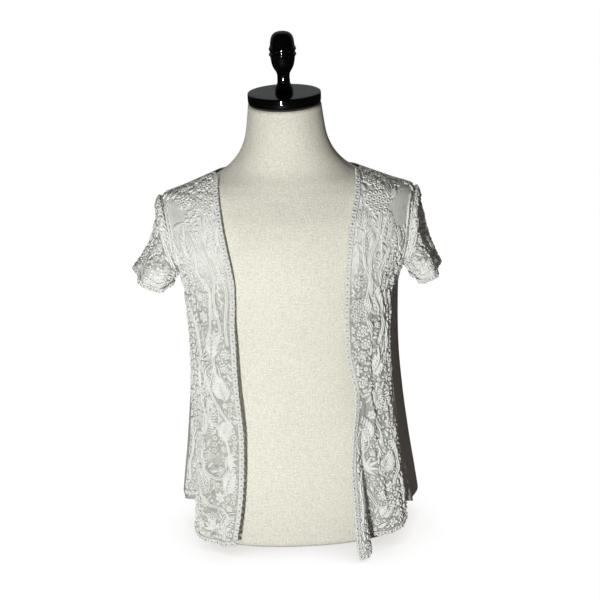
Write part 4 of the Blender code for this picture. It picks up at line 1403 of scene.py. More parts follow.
def lacquer_material(colour):
    """Gloss black lacquer with smears, dust and faint turning marks."""
    material, tree, shader, _, where = start_material("black lacquer", roughness=0.1)
    shader.inputs["Base Color"].default_value = (*colour, 1)
    shader.inputs["Coat Weight"].default_value = 0.5
    shader.inputs["Coat Roughness"].default_value = 0.04
    smears = ramp(tree, noise(tree, where, 45.0, 4.0), 0.40, 0.75, 0.04, 0.10)
    tree.links.new(smears, shader.inputs["Roughness"])
    dust = ramp(tree, noise(tree, where, 1400.0, 2.0), 0.68, 0.80)
    dusted = blended(tree, sums(tree, "MULTIPLY", dust, 0.2), (*colour, 1), DUST_COLOUR)
    tree.links.new(dusted, shader.inputs["Base Color"])
    turned = place(tree, "ShaderNodeTexWave", {"Vector": where, "Scale": TURNING}, bands_direction="Z")
    swell = sums(tree, "MULTIPLY_ADD", noise(tree, where, 90.0, 2.0), 0.2, turned.outputs["Fac"])
    raise_bump(tree, shader, swell, distance=0.0003, strength=0.4)
    return material


# the floor: how far its contact shade reaches and its colour there, its glow, and its colours
# where it is lit, where it throws light back on the form, and where gloss mirrors it
SHADE_REACH = 0.09
SHADE_COLOUR = (0.70, 0.68, 0.65, 1)
FLOOR_GLOW = 0.985
LIT_COLOUR = (0.045, 0.045, 0.045, 1)
BOUNCE_COLOUR = (0.16, 0.15, 0.14, 1)
DULL_COLOUR = (0.03, 0.03, 0.03, 1)


def floor_material(colour):
    """A pale studio floor: bright to the eye, with a soft contact shade, and dark as a reflector."""
    material = bpy.data.materials.new("studio floor")
    material.use_nodes = True
    tree = material.node_tree
    tree.nodes.clear()
    near = place(tree, "ShaderNodeAmbientOcclusion", {"Distance": SHADE_REACH}, samples=12).outputs["AO"]
    tone = blended(tree, ramp(tree, near, 0.15, 0.95), SHADE_COLOUR, (*colour, 1))
    glow = place(tree, "ShaderNodeEmission", {"Color": tone, "Strength": FLOOR_GLOW}).outputs[0]
    lit, bounce, dull = (
        place(tree, "ShaderNodeBsdfDiffuse", {"Color": shade}).outputs[0]
        for shade in (LIT_COLOUR, BOUNCE_COLOUR, DULL_COLOUR)
    )
    seen = place(tree, "ShaderNodeAddShader", {0: glow, 1: lit}).outputs[0]
    path = place(tree, "ShaderNodeLightPath").outputs
    by_ray = {0: path["Is Glossy Ray"], 1: bounce, 2: dull}
    mirrored = place(tree, "ShaderNodeMixShader", by_ray).outputs[0]
    by_ray = {0: path["Is Camera Ray"], 1: mirrored, 2: seen}
    mixed = place(tree, "ShaderNodeMixShader", by_ray).outputs[0]
    place(tree, "ShaderNodeOutputMaterial", {0: mixed})
    return material


# --- the form ---
def torso_cover(settings):
    """The padded torso under its linen, one smooth closed form with a flat bottom."""
    heights = []
    for low, high in zip(FORM[:-1], FORM[1:]):
        parts = max(2, round((high.height - low.height) / FORM_ROW))
        heights += list(np.linspace(low.height, high.height, parts + 1)[:-1])
    heights = np.array(heights + [NECK_TOP])
    angles = np.arange(FORM_COLUMNS) * 360 / FORM_COLUMNS - 180
    points = section_points(FORM, angles[None], heights[:, None])
    lean = math.tan(math.radians(NECK_LEAN)) * smooth_step(heights, LEAN_START, NECK_TOP)
    points[..., 2] += points[..., 1] * lean[:, None]
    closed = closed_grid(points)
    around = path_lengths(closed, 1)
    around -= around[:, FORM_COLUMNS // 2][:, None]
    uv = np.stack([around, path_lengths(closed, 0)], axis=-1).reshape(-1, 2)
    quads, places = strip_quads(len(heights), FORM_COLUMNS, True)
    ring = np.arange(FORM_COLUMNS)
    top = ring + (len(heights) - 1) * FORM_COLUMNS
    flat = points.reshape(-1, 3)[:, :2]
    corners = np.concatenate([uv[places.reshape(-1)], flat[ring[::-1]], flat[top]])
    faces = [quads, ring[None, ::-1], top[None]]
    linen = linen_material(tuple(settings.linen_colour), settings.linen_pitch)
    piece = add_piece("torso_cover", points.reshape(-1, 3), faces, corners, [linen])
    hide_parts("form_torso")


def rounded_profile(profile, rounds):
    """A turned profile with its corners cut back, again and again, into curves."""
    points = np.array(profile, float)
    for _ in range(rounds):
        near = points[:-1] * 0.75 + points[1:] * 0.25
        far = points[:-1] * 0.25 + points[1:] * 0.75
        cut = np.stack([near, far], axis=1).reshape(-1, 2)
        points = np.concatenate([points[:1], cut[1:-1], points[-1:]])
    return points


LEAST_RADIUS = 0.0006
SMOOTH_ANGLE = math.radians(40)


def turned_piece(name, profile, foot, material):
    """A turned piece on the leaning neck: a disc drawn up row by row, and resized at each."""
    rows = [(height, max(radius, LEAST_RADIUS)) for height, radius in profile]
    bpy.ops.object.select_all(action="DESELECT")
    height, radius = rows[0]
    bpy.ops.mesh.primitive_circle_add(
        vertices=CAP_SEGMENTS, radius=radius, fill_type="NGON", location=(0, 0, height)
    )
    piece = bpy.context.object
    piece.name = piece.data.name = name
    bpy.ops.object.mode_set(mode="EDIT")
    for next_height, next_radius in rows[1:]:
        rise = (0, 0, next_height - height)
        bpy.ops.mesh.extrude_region_move(TRANSFORM_OT_translate={"value": rise})
        scale = next_radius / radius
        bpy.ops.transform.resize(value=(scale, scale, 1), center_override=(0, 0, next_height))
        height, radius = next_height, next_radius
    bpy.ops.mesh.select_all(action="SELECT")
    bpy.ops.mesh.normals_make_consistent(inside=False)
    bpy.ops.object.mode_set(mode="OBJECT")
    bpy.ops.object.transform_apply(location=True, rotation=True, scale=True)
    piece.rotation_euler = (math.radians(NECK_LEAN), 0, 0)
    piece.location = foot
    bpy.ops.object.transform_apply(location=True, rotation=True, scale=True)
    bpy.ops.object.shade_smooth_by_angle(angle=SMOOTH_ANGLE)
    piece.data.materials.append(material)
    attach(piece, BODY)
    return piece


def cap_and_finial(settings):
    """The neck cap and the finial, turned and lacquered."""
    lacquer = lacquer_material(tuple(settings.lacquer_colour))
    lean = math.radians(NECK_LEAN)
    cap_foot = Vector((0, 0, NECK_TOP + CAP_GAP))
    up = Vector((0, -math.sin(lean), math.cos(lean)))
    cap = turned_piece("neck_cap_turned", rounded_profile(CAP[1:], 2), cap_foot, lacquer)
    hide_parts("neck_cap")
    finial_foot = cap_foot + up * (CAP_THICKNESS + CAP_GAP)
    finial = turned_piece("finial_turned", rounded_profile(FINIAL[1:], 2), finial_foot, lacquer)
    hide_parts("finial")


# --- the shrug's panels ---
# What shows of each panel laid flat: width and length, and its area, in metres.
Cut = namedtuple("Cut", "width length area")


PANEL_ROWS = (14, 46, 84, 46)


def levels(lowest, rows=PANEL_ROWS):
    """Row heights of a panel, from the shoulder seam to the lowest point of its hem."""
    marks = (NECK_POINT - 0.0012, SHOULDER_TIP, UNDERARM, HEM_START, lowest)
    runs = [np.linspace(high, low, n)[:-1] for high, low, n in zip(marks[:-1], marks[1:], rows)]
    return np.concatenate([*runs, marks[-1:]])


def hemmed_rows(name, columns):
    """The heights of a panel's grid, down to its hem, and how far across each point is."""
    lowest = min(getattr(row, name) for row in HEM)
    level, share = np.meshgrid(levels(lowest), np.linspace(0, 1, columns), indexing="ij")
    rise = column(HEM, name, share) - lowest
    return level + rise * smooth_step(level, HEM_START, lowest), share


def front_limits(side, height):
    """The angles between which a front lies at a height."""
    width = column(CLOTH, "half_width", height)
    inner = edge_angle(side, height) + np.degrees((EDGING_WIDTH + SEAM_GAP) / width)
    outer = column(SIDE_BORDER, "front", height) - np.degrees(SIDE_GAP / 2 / width)
    return inner, np.maximum(outer, inner + 0.5)


def front_grid(side, columns=56):
    """The outer face of one front: rows from the shoulder down, columns from the inner edge."""
    height, share = hemmed_rows(side, columns)
    inner, outer = front_limits(side, height)
    return cloth_points(SIGN[side] * (inner + (outer - inner) * share), height)


def back_grid(columns=132):
    """The outer face of the back, from the left side seam round to the right one."""
    height, share = hemmed_rows("back", columns)
    side = column(SIDE_BORDER, "back", height)
    side = side + np.degrees(SIDE_GAP / 2 / column(CLOTH, "half_width", height))
    return cloth_points(side + (360 - 2 * side) * share, height)


def from_axis(points):
    """Directions away from the form's axis."""
    return points * np.array([1.0, 1.0, 0.0])


def front_patch(side):
    """A front's surface, read by distance from its edge and by height, and where lace may lie."""
    away = np.arange(0, PATCH_REACH, DRAWN_STEP)
    height = np.arange(0, NECK_POINT + 0.003, DRAWN_STEP)
    edge = edge_angle(side, height)
    angles = edge[:, None] + np.linspace(0, 1, 160) * np.minimum(84, 100 - edge)[:, None]
    reach = path_lengths(cloth_points(SIGN[side] * angles, height[:, None]), 1)
    angle = np.stack([np.interp(away, *row) for row in zip(reach, angles)])
    points = cloth_points(SIGN[side] * angle, height[:, None])
    patch = Patch(away, height, points, from_axis(points))
    map_away = np.arange(0, PATCH_REACH - MM, MM)
    map_height = np.arange(0, NECK_POINT + MM, MM)
    place_a, place_b = np.meshgrid(map_away, map_height)
    at_angle = patch.read(angle[..., None], place_a, place_b)[..., 0]
    inner, outer = front_limits(side, place_b)
    share = (at_angle - inner) / (outer - inner)
    hem = column(HEM, side, np.clip(share, 0, 1))
    held = (share > 0) & (share < 1) & (place_b > hem) & (place_b < NECK_POINT - 0.0018)

    def inside(a, b):
        """True where lace may lie."""
        col = np.clip(np.round(np.asarray(a) / MM).astype(int), -1, len(map_away))
        row = np.clip(np.round(np.asarray(b) / MM).astype(int), -1, len(map_height))
        on = (col >= 0) & (col < len(map_away)) & (row >= 0) & (row < len(map_height))
        return on & held[np.clip(row, 0, len(map_height) - 1), np.clip(col, 0, len(map_away) - 1)]

    def side_border(at):
        """How far from the edge the side seam is at a height."""
        _, outer = front_limits(side, at)
        row = patch.read(angle[..., None], away, np.full_like(away, at))[..., 0]
        return float(np.interp(outer, row, away))

    return patch, inside, side_border


def in_window(windows, a, b):
    """True in one of the fields of bare net."""
    return any(
        (2 * (a - w.away) / w.wide) ** 2 + (2 * (b - w.height) / w.tall) ** 2 < 1 for w in windows
    )


def front_lace(side, settings):
    """The lace drawn on one front."""
    patch, inside, side_border = front_patch(side)
    lace = Lace(patch, inside, 0.0, settings)
    for height in np.arange(*SEAM_RINGS):
        away = side_border(height) - SEAM_RING_INSET
        lace.ring(patch.spot(away, height), radius=SEAM_RING_RADIUS)
    border = np.arange(*ARMHOLE_RUN)
    seam = np.array([side_border(height) for height in border])
    for inward, half in ARMHOLE_CORDS:
        lace.thread_line(seam - inward, border, half=half)
    for height in border[1:-2:4]:
        at = patch.spot(side_border(height) - ARMHOLE_LEAF_INSET, height)
        lace.leaf(at, 0, 0, *ARMHOLE_LEAF, steps=5)
    for motif in FRONT_MOTIFS[side]:
        lace.draw(motif.kind, motif.away * MM, motif.height * MM, motif.size * MM, motif.turn)
    for line in FRONT_LINES[side]:
        getattr(lace, line.kind)(np.array(line.places) * MM)

    def spread(step, rng):
        """Places all over the front, a step apart and shaken."""
        a, b = shaken_places(rng, *FRONT_FIELD, step, step)
        held = inside(a, b)
        return a[held], b[held]

    def share(a, b):
        """The chance that room at a place is used: more towards the hem, none in bare net."""
        if in_window(FRONT_WINDOWS[side], a / MM, b / MM):
            return 0.0
        return float(BARE[side] + (FULL - BARE[side]) * smooth_step(-b, -BARE_HEIGHT, -FULL_HEIGHT))

    lace.fill(spread, FRONT_GAP, share, FRONT_SEED[side])
    return lace


def even_path(points, out, step, closed):
    """A border read at even steps, with the ways out of its panel."""
    if closed:
        points, out = (np.concatenate([part, part[:1]]) for part in (points, out))
    reach = path_lengths(points)
    count = max(4, round(reach[-1] / step))
    at = np.linspace(0, reach[-1], count + 1)
    at = at[:-1] if closed else at
    parts = []
    for given in (points, out):
        parts.append(np.stack([np.interp(at, reach, given[:, i]) for i in range(3)], axis=1))
    return at, *parts


# how much further out than the rest an edging goes at the corner of the hem
CORNER_REACH = 1.3


def front_run(grid):
    """The path of a front's edging: down its inner edge and along its hem."""
    edge, hem = grid[:, 0], grid[-1]
    edge_out, hem_out = unit(edge - grid[:, 1]), unit(hem - grid[-2])
    corner = unit(edge_out[-1] + hem_out[0]) * CORNER_REACH
    edge_out[-1] = corner
    return np.concatenate([edge, hem[1:]]), np.concatenate([edge_out, hem_out[1:]])


# across the edging's strip: the rings' middle and size, small discs by place and size, and the cord
EDGING_STEP = 0.001
EDGING_LIFT = 0.0002
EDGING_RING_PLACE, EDGING_RING, EDGING_RING_HALF = 0.0037, 0.0051, 0.0019
EDGING_DISCS = ((0.0016, 0.0011), (0.0058, 0.0010))
EDGING_CORD_PLACE, EDGING_CORD_HALF, EDGING_CORD_STEP = 0.0001, 0.00085, 0.002
EDGING_WAVE, EDGING_WAVES = 0.0001, 900


def edging_pieces(name, path, out, outward_from, closed, settings, net, ring_thread):
    """A border's strip of net, and the chain of rings and the cord on it."""
    at, path, out = even_path(path, out, EDGING_STEP, closed)
    across = np.array([0.0, 0.5, 1.0]) * EDGING_WIDTH
    points = path[None] + out[None] * (across[:, None, None] + SEAM_GAP)
    outward = outward_from(points)
    patch = Patch(at, across, points, outward, wrap=closed)

    def inside(a, b):
        """True on the strip."""
        return np.full(np.broadcast(a, b).shape, True)

    lace = Lace(patch, inside, EDGING_LIFT, settings)
    height = settings.cord_height
    length = at[-1] + (at[1] if closed else 0)
    count = round(length / settings.edging_pitch)
    pitch = length / count
    for i in range(count):
        spot = patch.spot((i + 0.5) * pitch, EDGING_RING_PLACE)
        lace.ring(spot, 0.0, 0.0, EDGING_RING, EDGING_RING_HALF, height, steps=14, section=CORD)
        for away, radius in EDGING_DISCS:
            lace.disc(patch.spot(i * pitch, away), 0, 0, radius, steps=9)
    line = np.arange(0, length, EDGING_CORD_STEP)
    wave = EDGING_WAVE * np.sin(line * EDGING_WAVES)
    lace.ribbon(line, EDGING_CORD_PLACE + wave, EDGING_CORD_HALF, height * 1.05, CORD, closed=closed)
    near, far = points[0], points[0] * 0.2 + points[2] * 0.8
    strip = np.stack([near, (near + far) / 2, far])
    backing = cloth_wall(name + "_net", strip, outward, NET_WALL, NET_SINK, closed, net)
    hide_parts(name)
    return [backing, lace.piece(name + "_rings", ring_thread, "ring_edging")]


def build_fronts(settings):
    """Both fronts: net, lace, and the ring edging down the edge and along the hem."""
    materials = cloth_materials(settings)
    for side in SIDES:
        grid = front_grid(side)
        net = cloth_wall(
            f"front_{side}_net", grid, from_axis(grid), NET_WALL, NET_SINK, False, materials["net"]
        )
        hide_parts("front_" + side)
        lace = front_lace(side, settings).piece(f"front_{side}_lace", materials["thread"], "lace")
        path, out = front_run(grid)
        name = "edging_" + side
        edging = edging_pieces(
            name, path, out, from_axis, False, settings, materials["net"], materials["ring thread"]
        )


def side_lace(side, settings):
    """The lace that runs on past a front's side seam, as far as the back's forward strip shows."""
    patch, _, side_border = front_patch(side)
    heights = np.arange(*SIDE_ROWS)
    seams = np.array([side_border(height) for height in heights])
    foot = HEM[-1].back + 0.004

    def inside(a, b):
        """True beyond the seam, short of the side's turn, and above the hem."""
        past = np.asarray(a) - np.interp(b, heights, seams)
        level = (np.asarray(b) > foot - 0.010) & (np.asarray(b) < SIDE_STRIP_TOP)
        return (past > 0.0012) & (past < SIDE_STRIP) & level

    lace = Lace(patch, inside, 0.0, settings)
    for row in SIDE_LINES:
        past, height = np.array(row.places, float).T * MM
        getattr(lace, row.kind)(np.stack([past + np.interp(height, heights, seams), height], axis=-1))

    def spread(step, rng):
        """Places all over the strip, a step apart and shaken."""
        past, b = shaken_places(rng, (0.003, SIDE_STRIP), (foot, SIDE_STRIP_TOP), step, step)
        a = past + np.interp(b, heights, seams)
        held = inside(a, b)
        return a[held], b[held]

    lace.fill(spread, SIDE_STRIP_GAP, lambda a, b: 0.8, SIDE_SEED)
    return lace


def build_back(settings):
    """The back: one piece of plain knit."""
    materials = cloth_materials(settings)
    grid = back_grid()
    knit = knit_material(tuple(settings.knit_colour), settings.knit_wale)
    piece = cloth_wall("back_knit", grid, from_axis(grid), KNIT_WALL, 0.0, False, knit)
    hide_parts("back")
    lace = side_lace("right", settings).piece("side_right_lace", materials["thread"], "lace")


# --- sleeves ---
SLEEVE_TURNS = np.arange(-180, 180, 2.5)


def sleeve_grid(side, rings):
    """A sleeve's outer face, in rings from the armhole to the cuff, and the rings' shares."""
    shares = np.linspace(0, 1, rings)
    return sleeve_points(side, SLEEVE_TURNS[None], shares[:, None]), shares


def away_from_arm(points):
    """Directions out of a sleeve."""
    return points - points.mean(axis=1, keepdims=True)


def sleeve_patch(side):
    """A sleeve's surface, read by the turn round it and the share of its length."""
    points, shares = sleeve_grid(side, 41)
    return Patch(SLEEVE_TURNS, shares, points, away_from_arm(points), wrap=True)


# a sleeve's lace: its shares, its two level threads by share and wave, and how the room is filled
SLEEVE_LACE = (0.02, 0.985)
SLEEVE_THREADS = ((0.24, 0.012), (0.93, 0.010))
SLEEVE_THREAD_REACH = 128
SLEEVE_FIELD = (-178, 178), (0.05, 0.97)
TURN_STEPS, SHARE_STEPS = 1000, 9
UNDER_ARM, FILLED, FILLED_UNDER_ARM = 140, 0.6, 0.4


def sleeve_lace(patch, settings, seed):
    """The lace drawn on one sleeve."""

    def inside(a, b):
        """True on the sleeve, short of its seam and of the cuff's edging, at any turn."""
        return (np.asarray(b) > SLEEVE_LACE[0]) & (np.asarray(b) < SLEEVE_LACE[1])

    lace = Lace(patch, inside, 0.0, settings)
    for motif in SLEEVE_MOTIFS:
        lace.draw(motif.kind, motif.away, motif.height * 0.01, motif.size * MM, motif.turn)
    turns = np.linspace(-SLEEVE_THREAD_REACH, SLEEVE_THREAD_REACH, 180)
    for share, wave in SLEEVE_THREADS:
        lace.thread_line(turns, share + wave * np.sin(np.radians(turns * 9)))

    def spread(step, rng):
        """Places all over the sleeve, about a step apart and shaken."""
        return shaken_places(rng, *SLEEVE_FIELD, step * TURN_STEPS, step * SHARE_STEPS)

    def share(a, b):
        """The chance that room is used: less under the arm, and none in bare net or under the band."""
        if in_window(SLEEVE_WINDOWS, a, b * 100) or (b < BAND_SHARES[1] and abs(a) < BAND_REACH):
            return 0.0
        return FILLED if abs(a) < UNDER_ARM else FILLED_UNDER_ARM

    lace.fill(spread, SLEEVE_GAP, share, seed)
    return lace


# on the armhole band: its borders' inset, and leaves by pitch, reach and half width, with discs
BORDER_INSET = 0.012
BAND_LEAF_PITCH, BAND_LEAF_REACH, BAND_LEAF_HALF = 8.5, 9.5, 0.0026
BAND_LEAF_INSET = 0.025
BAND_DISC_INSET = 0.045
BAND_DISCS = ((8.5, 0.0016), (1.0, 0.0013))


def armhole_band(side, patch, settings, materials):
    """The lace band over an armhole seam: two raised borders with slanting leaves between."""
    low, high = BAND_SHARES
    turns = np.arange(-BAND_REACH, BAND_REACH + 1, 1.25)
    shares = np.linspace(low, high, 5)
    lift = BAND_LIFT + NET_SINK
    points = patch.lay(*np.meshgrid(turns, shares), lift)
    outward = patch.read(patch.normals, *np.meshgrid(turns, shares))
    name = "armhole_band_" + side
    backing = cloth_wall(
        name + "_net", points, outward, NET_WALL, NET_SINK, False, materials["net"]
    )
    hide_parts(name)

    def inside(a, b):
        """True on the band, with its raised borders."""
        return (np.abs(a) <= BAND_REACH + 2) & (np.asarray(b) > low - 0.04) & (np.asarray(b) < high + 0.04)

    lace = Lace(patch, inside, lift, settings)
    line = np.linspace(-BAND_REACH + 1, BAND_REACH - 1, 260)
    lace.ribbon(line, 0.004 + 0 * line, 0.0012, settings.cord_height, CORD)
    for share, phase in ((low + BORDER_INSET, 0.0), (high - BORDER_INSET, 1.5)):
        wave = 0.008 * np.sin(np.radians(line * 45) + phase)
        lace.ribbon(line, share + wave, 0.0011, settings.cord_height * 1.25, CORD)
    for i, turn in enumerate(np.arange(-BAND_REACH + 5, BAND_REACH - 12, BAND_LEAF_PITCH)):
        t = np.linspace(0, 1, 9)
        rise = low + BAND_LEAF_INSET + (high - low - 2 * BAND_LEAF_INSET) * (t if i % 2 else 1 - t)
        half = BAND_LEAF_HALF * np.sin(math.pi * (0.06 + 0.88 * t)) ** 0.8
        lace.ribbon(turn + BAND_LEAF_REACH * t, rise, half, settings.cord_height, LEAF)
        edge = low + BAND_DISC_INSET if i % 2 else high - BAND_DISC_INSET
        for ahead, radius in BAND_DISCS:
            lace.disc(patch.spot(turn + ahead, edge), 0, 0, radius)
    return [backing, lace.piece(name + "_lace", materials["thread"], "lace")]


def build_sleeves(settings):
    """Both sleeves: net, lace, the armhole band and the cuff's ring edging."""
    materials = cloth_materials(settings)
    for number, side in enumerate(SIDES):
        patch = sleeve_patch(side)
        grid, _ = sleeve_grid(side, 26)
        net = cloth_wall(
            f"sleeve_{side}_net", grid, away_from_arm(grid), NET_WALL, NET_SINK, True,
            materials["sleeve net"],
        )
        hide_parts(f"sleeve_{side}_front", f"sleeve_{side}_back")
        lace = sleeve_lace(patch, settings, SLEEVE_SEED + number)
        pieces = [lace.piece(f"sleeve_{side}_lace", materials["thread"], "lace")]
        pieces += armhole_band(side, patch, settings, materials)
        out = unit(grid[-1] - grid[-2])
        pieces += edging_pieces(
            "cuff_" + side, grid[-1], out, away_from_arm, True, settings,
            materials["net"], materials["ring thread"],
        )


def cloth_materials(settings):
    """The garment's shared materials, made once."""
    made = bpy.data.materials
    if "lace thread" not in made:
        thread_material("lace thread", tuple(settings.thread_colour), 0.0009)
        thread_material("ring thread", tuple(settings.edging_colour), 0.0007)
        net = (tuple(settings.net_colour), settings.net_cell, settings.net_cover)
        net_material("lace net", *net, tuple(settings.yoke_painted_light_colour), settings.yoke_cover)
        net_material("sleeve net", *net, *net[::2])
    return {
        "thread": made["lace thread"],
        "ring thread": made["ring thread"],
        "net": made["lace net"],
        "sleeve net": made["sleeve net"],
    }


# --- the stage ---
CAMERA_PLACE = Vector((0.011, -2.4, 1.0))
CAMERA_AIM = Vector((0.011, 0.0, 0.36))
CAMERA_ROLL = 2.3
CAMERA_LENS = 98.36

# from the form's axis to its front, where the key lamp's strength is given
LAMP_REACH = 0.1
CAMERA_CLIP = (0.05, 50)
KEY_SIZE, KEY_COLOUR = 0.09, (1.0, 0.985, 0.96)
TOP_COLOUR, REAR_COLOUR = (0.90, 0.96, 1.0), (1.0, 0.99, 0.97)
FLOOR_SIZE, FLOOR_DROP = 40, 0.0002

# what gloss mirrors of the world: dark before the form, pale behind it, and where it turns pale
DARK_GLOSS, PALE_GLOSS = (0.004, 0.004, 0.0042, 1), (0.15, 0.162, 0.16, 1)
GLOSS_TURNS = (-0.1, 0.8)


def set_camera():
    """The camera at the viewing height, turned slightly about its own axis."""
    ahead = (CAMERA_AIM - CAMERA_PLACE).normalized()
    right = ahead.cross(Vector((0, 0, 1))).normalized()
    up = right.cross(ahead)
    cos, sin = cos_sin(CAMERA_ROLL)
    right, up = right * cos - up * sin, up * cos + right * sin
    data = bpy.data.cameras.new("camera")
    data.lens = CAMERA_LENS
    data.clip_start, data.clip_end = CAMERA_CLIP
    camera = bpy.data.objects.new("camera", data)
    axes = Matrix((right, up, -ahead)).transposed().to_4x4()
    camera.matrix_world = Matrix.Translation(CAMERA_PLACE) @ axes
    bpy.context.scene.collection.objects.link(camera)
    bpy.context.scene.camera = camera


def add_light(name, kind, energy, colour):
    """A light of one kind in the scene."""
    data = bpy.data.lights.new(name, kind)
    data.energy, data.color = energy, colour
    light = bpy.data.objects.new(name, data)
    bpy.context.scene.collection.objects.link(light)
    return light


def sun(name, azimuth, elevation, strength, spread, colour):
    """A far light; azimuth 0 comes from the front, and 90 from the wearer's left."""
    light = add_light(name, "SUN", strength, colour)
    light.data.angle = math.radians(spread)
    a, e = math.radians(azimuth), math.radians(elevation)
    way = Vector((math.sin(a) * math.cos(e), -math.cos(a) * math.cos(e), math.sin(e)))
    light.rotation_euler = way.to_track_quat("Z", "Y").to_euler()
    light.location = way * 3
    light.visible_glossy = False


def lamp(name, azimuth, distance, height, strength, size, colour):
    """A near round lamp, with the strength of its light at the form."""
    light = add_light(name, "POINT", strength * 4 * math.pi * (distance - LAMP_REACH) ** 2, colour)
    light.data.shadow_soft_size = size / 2
    a = math.radians(azimuth)
    light.location = (distance * math.sin(a), -distance * math.cos(a), height)


def set_world(settings):
    """Plain white to the eye, pale behind and dark before it in gloss, and dim as a light."""
    world = bpy.data.worlds.new("studio")
    bpy.context.scene.world = world
    world.use_nodes = True
    tree = world.node_tree
    tree.nodes.clear()
    path = place(tree, "ShaderNodeLightPath").outputs
    way = place(tree, "ShaderNodeTexCoord").outputs["Generated"]
    ahead = place(tree, "ShaderNodeSeparateXYZ", {0: way}).outputs[1]
    mirrored = blended(tree, ramp(tree, ahead, *GLOSS_TURNS), DARK_GLOSS, PALE_GLOSS)
    fill = tuple(part * settings.fill_strength for part in settings.fill_colour)
    dim = blended(tree, path["Is Glossy Ray"], (*fill, 1), mirrored)
    tone = blended(tree, path["Is Camera Ray"], dim, (1, 1, 1, 1))
    shine = place(tree, "ShaderNodeBackground", {"Color": tone}).outputs[0]
    place(tree, "ShaderNodeOutputWorld", {0: shine})


def build_stage(settings):
    """The floor, the lights, the world and the camera."""
    bpy.ops.object.select_all(action="DESELECT")
    bpy.ops.mesh.primitive_plane_add(size=FLOOR_SIZE, location=(0, 0, -FLOOR_DROP))
    floor = bpy.context.object
    floor.name = floor.data.name = "studio_floor"
    bpy.ops.object.transform_apply(location=True, rotation=True, scale=True)
    floor.data.materials.append(floor_material(tuple(settings.floor_colour)))
    key = (settings.key_azimuth, settings.key_distance, settings.key_height, settings.key_strength)
    lamp("key", *key, KEY_SIZE, KEY_COLOUR)
    top, rear = settings.top_strength, settings.rear_strength
    sun("top", azimuth=25, elevation=72, strength=top, spread=20.0, colour=TOP_COLOUR)
    sun("rear", azimuth=204, elevation=30, strength=rear, spread=12.0, colour=REAR_COLOUR)
    set_world(settings)
    set_camera()
    view = bpy.context.scene.view_settings
    view.view_transform = "Standard"
    view.look = "None"
    view.exposure, view.gamma = 0.0, 1.0


# --- settings, operators and panel ---
def length(name, description, default):
    """A length that a user may change."""
    return bpy.props.FloatProperty(
        name=name, description=description, default=default, min=0.0001, unit="LENGTH", precision=5
    )


def colour(name, description, default):
    """A colour that a user may change."""
    return bpy.props.FloatVectorProperty(
        name=name, description=description, default=default, size=3, subtype="COLOR", min=0, max=1
    )


def number(name, description, default):
    """A plain number that a user may change."""
    return bpy.props.FloatProperty(name=name, description=description, default=default)


class FormSettings(bpy.types.PropertyGroup):
    """Finish of the dress form."""

    linen_colour: colour("Linen", "Colour of the linen cover", (0.755, 0.758, 0.675))
    linen_pitch: length("Linen Pitch", "Distance between the linen's threads", 0.0009)
    lacquer_colour: colour("Lacquer", "Colour of the cap and the finial", (0.0014, 0.0014, 0.0015))


class ShrugSettings(bpy.types.PropertyGroup):
    """Sizes and colours of the garment."""

    cord_width: length("Cord Width", "Width of the lace's raised cords", 0.0025)
    cord_height: length("Cord Height", "How far the cords stand above the net", 0.0022)
    ring_size: length("Ring Size", "Outer width of the lace's rings", 0.0078)
    edging_pitch: length("Edging Pitch", "Distance between the edging's rings", 0.0099)
    net_cell: length("Net Cell", "Distance between the openings of the net", 0.0016)
    net_cover: number("Net Cover", "How wide the net's threads are, from -1.4 to 2", -0.75)
    yoke_cover: number("Yoke Cover", "The same, over the shoulders", 1.10)
    # the net's lighter colour over the shoulders is painted light
    yoke_painted_light_colour: colour("Yoke", "Colour of the net over the shoulders", (0.92, 0.96, 0.92))
    thread_colour: colour("Thread", "Colour of the lace's cords", (0.945, 0.985, 0.95))
    edging_colour: colour("Edging", "Colour of the ring edging", (0.955, 0.99, 0.965))
    net_colour: colour("Net", "Colour of the net", (0.72, 0.755, 0.705))
    knit_colour: colour("Knit", "Colour of the plain knit back", (0.84, 0.85, 0.83))
    knit_wale: length("Knit Wale", "Width of one column of stitches", 0.0012)


class StageSettings(bpy.types.PropertyGroup):
    """Lights and floor of the stage."""

    key_azimuth: number("Key Azimuth", "Where the key light stands, in degrees", -10.5)
    key_distance: length("Key Distance", "How far the key light stands from the form's axis", 1.5)
    key_height: length("Key Height", "How high the key light stands", 0.30)
    key_strength: number("Key Strength", "Strength of the key light", 3.28)
    top_strength: number("Top Strength", "Strength of the light from above", 0.30)
    rear_strength: number("Rear Strength", "Strength of the light behind", 1.5)
    fill_strength: number("Fill Strength", "Strength of the light from all round", 0.050)
    fill_colour: colour("Fill", "Colour of the light from all round", (1.0, 0.56, 0.32))
    floor_colour: colour("Floor", "Colour of the floor", (1.0, 1.0, 1.0))


class SHRUG_OT_form(bpy.types.Operator):
    """Build the padded torso under its linen cover"""

    bl_idname = "shrug.form"
    bl_label = "Dress Form"

    def execute(self, context):
        torso_cover(context.scene.dress_form)
        return {"FINISHED"}


class SHRUG_OT_cap(bpy.types.Operator):
    """Build the neck cap and the turned finial"""

    bl_idname = "shrug.cap"
    bl_label = "Cap and Finial"

    def execute(self, context):
        cap_and_finial(context.scene.dress_form)
        return {"FINISHED"}


class SHRUG_OT_back(bpy.types.Operator):
    """Build the plain knit back"""

    bl_idname = "shrug.back"
    bl_label = "Knit Back"

    def execute(self, context):
        build_back(context.scene.lace_shrug)
        return {"FINISHED"}


class SHRUG_OT_fronts(bpy.types.Operator):
    """Build both lace fronts with their ring edging"""

    bl_idname = "shrug.fronts"
    bl_label = "Lace Fronts"

    def execute(self, context):
        build_fronts(context.scene.lace_shrug)
        return {"FINISHED"}


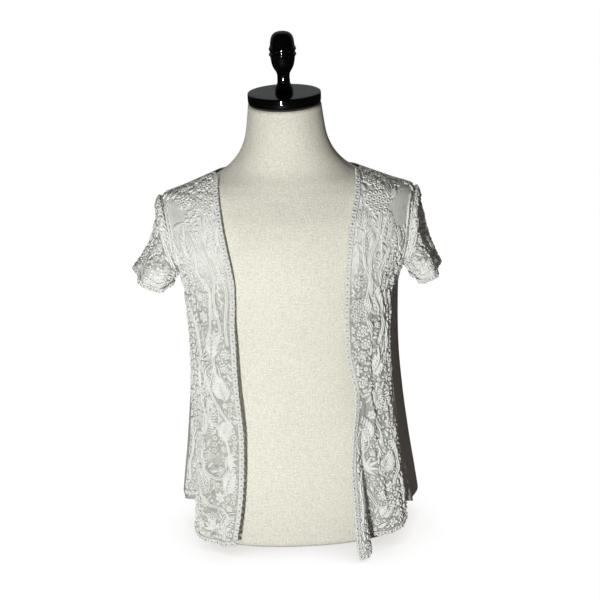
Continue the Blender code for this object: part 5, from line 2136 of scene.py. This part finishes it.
class SHRUG_OT_sleeves(bpy.types.Operator):
    """Build both lace sleeves with their armhole bands and cuffs"""

    bl_idname = "shrug.sleeves"
    bl_label = "Lace Sleeves"

    def execute(self, context):
        build_sleeves(context.scene.lace_shrug)
        return {"FINISHED"}


class SHRUG_OT_stage(bpy.types.Operator):
    """Set the floor, the lights, the world and the camera"""

    bl_idname = "shrug.stage"
    bl_label = "Stage"

    def execute(self, context):
        build_stage(context.scene.shrug_stage)
        return {"FINISHED"}


OPERATORS = (SHRUG_OT_form, SHRUG_OT_cap, SHRUG_OT_back, SHRUG_OT_fronts, SHRUG_OT_sleeves, SHRUG_OT_stage)
GROUPS = (("dress_form", FormSettings), ("lace_shrug", ShrugSettings), ("shrug_stage", StageSettings))


class SHRUG_PT_panel(bpy.types.Panel):
    """The sizes and colours, and a button for each piece"""

    bl_idname = "SHRUG_PT_panel"
    bl_label = "Lace Shrug"
    bl_space_type = "VIEW_3D"
    bl_region_type = "UI"
    bl_category = "Shrug"

    def draw(self, context):
        for name, group in GROUPS:
            box = self.layout.box()
            box.label(text=group.__doc__)
            for setting in group.__annotations__:
                box.prop(getattr(context.scene, name), setting)
        for operator in OPERATORS:
            self.layout.operator(operator.bl_idname)


def register():
    """Registers the settings, the operators and the panel."""
    for name, group in GROUPS:
        bpy.utils.register_class(group)
        setattr(bpy.types.Scene, name, bpy.props.PointerProperty(type=group))
    for kind in (*OPERATORS, SHRUG_PT_panel):
        bpy.utils.register_class(kind)


def unregister():
    """Takes the panel, the operators and the settings out again."""
    for kind in (SHRUG_PT_panel, *reversed(OPERATORS)):
        bpy.utils.unregister_class(kind)
    for name, group in reversed(GROUPS):
        delattr(bpy.types.Scene, name)
        bpy.utils.unregister_class(group)


def main():
    """Builds every piece and the stage."""
    register()
    bpy.ops.shrug.form()
    bpy.ops.shrug.cap()
    bpy.ops.shrug.back()
    bpy.ops.shrug.fronts()
    bpy.ops.shrug.sleeves()
    bpy.ops.shrug.stage()


if __name__ == "__main__":
    main()
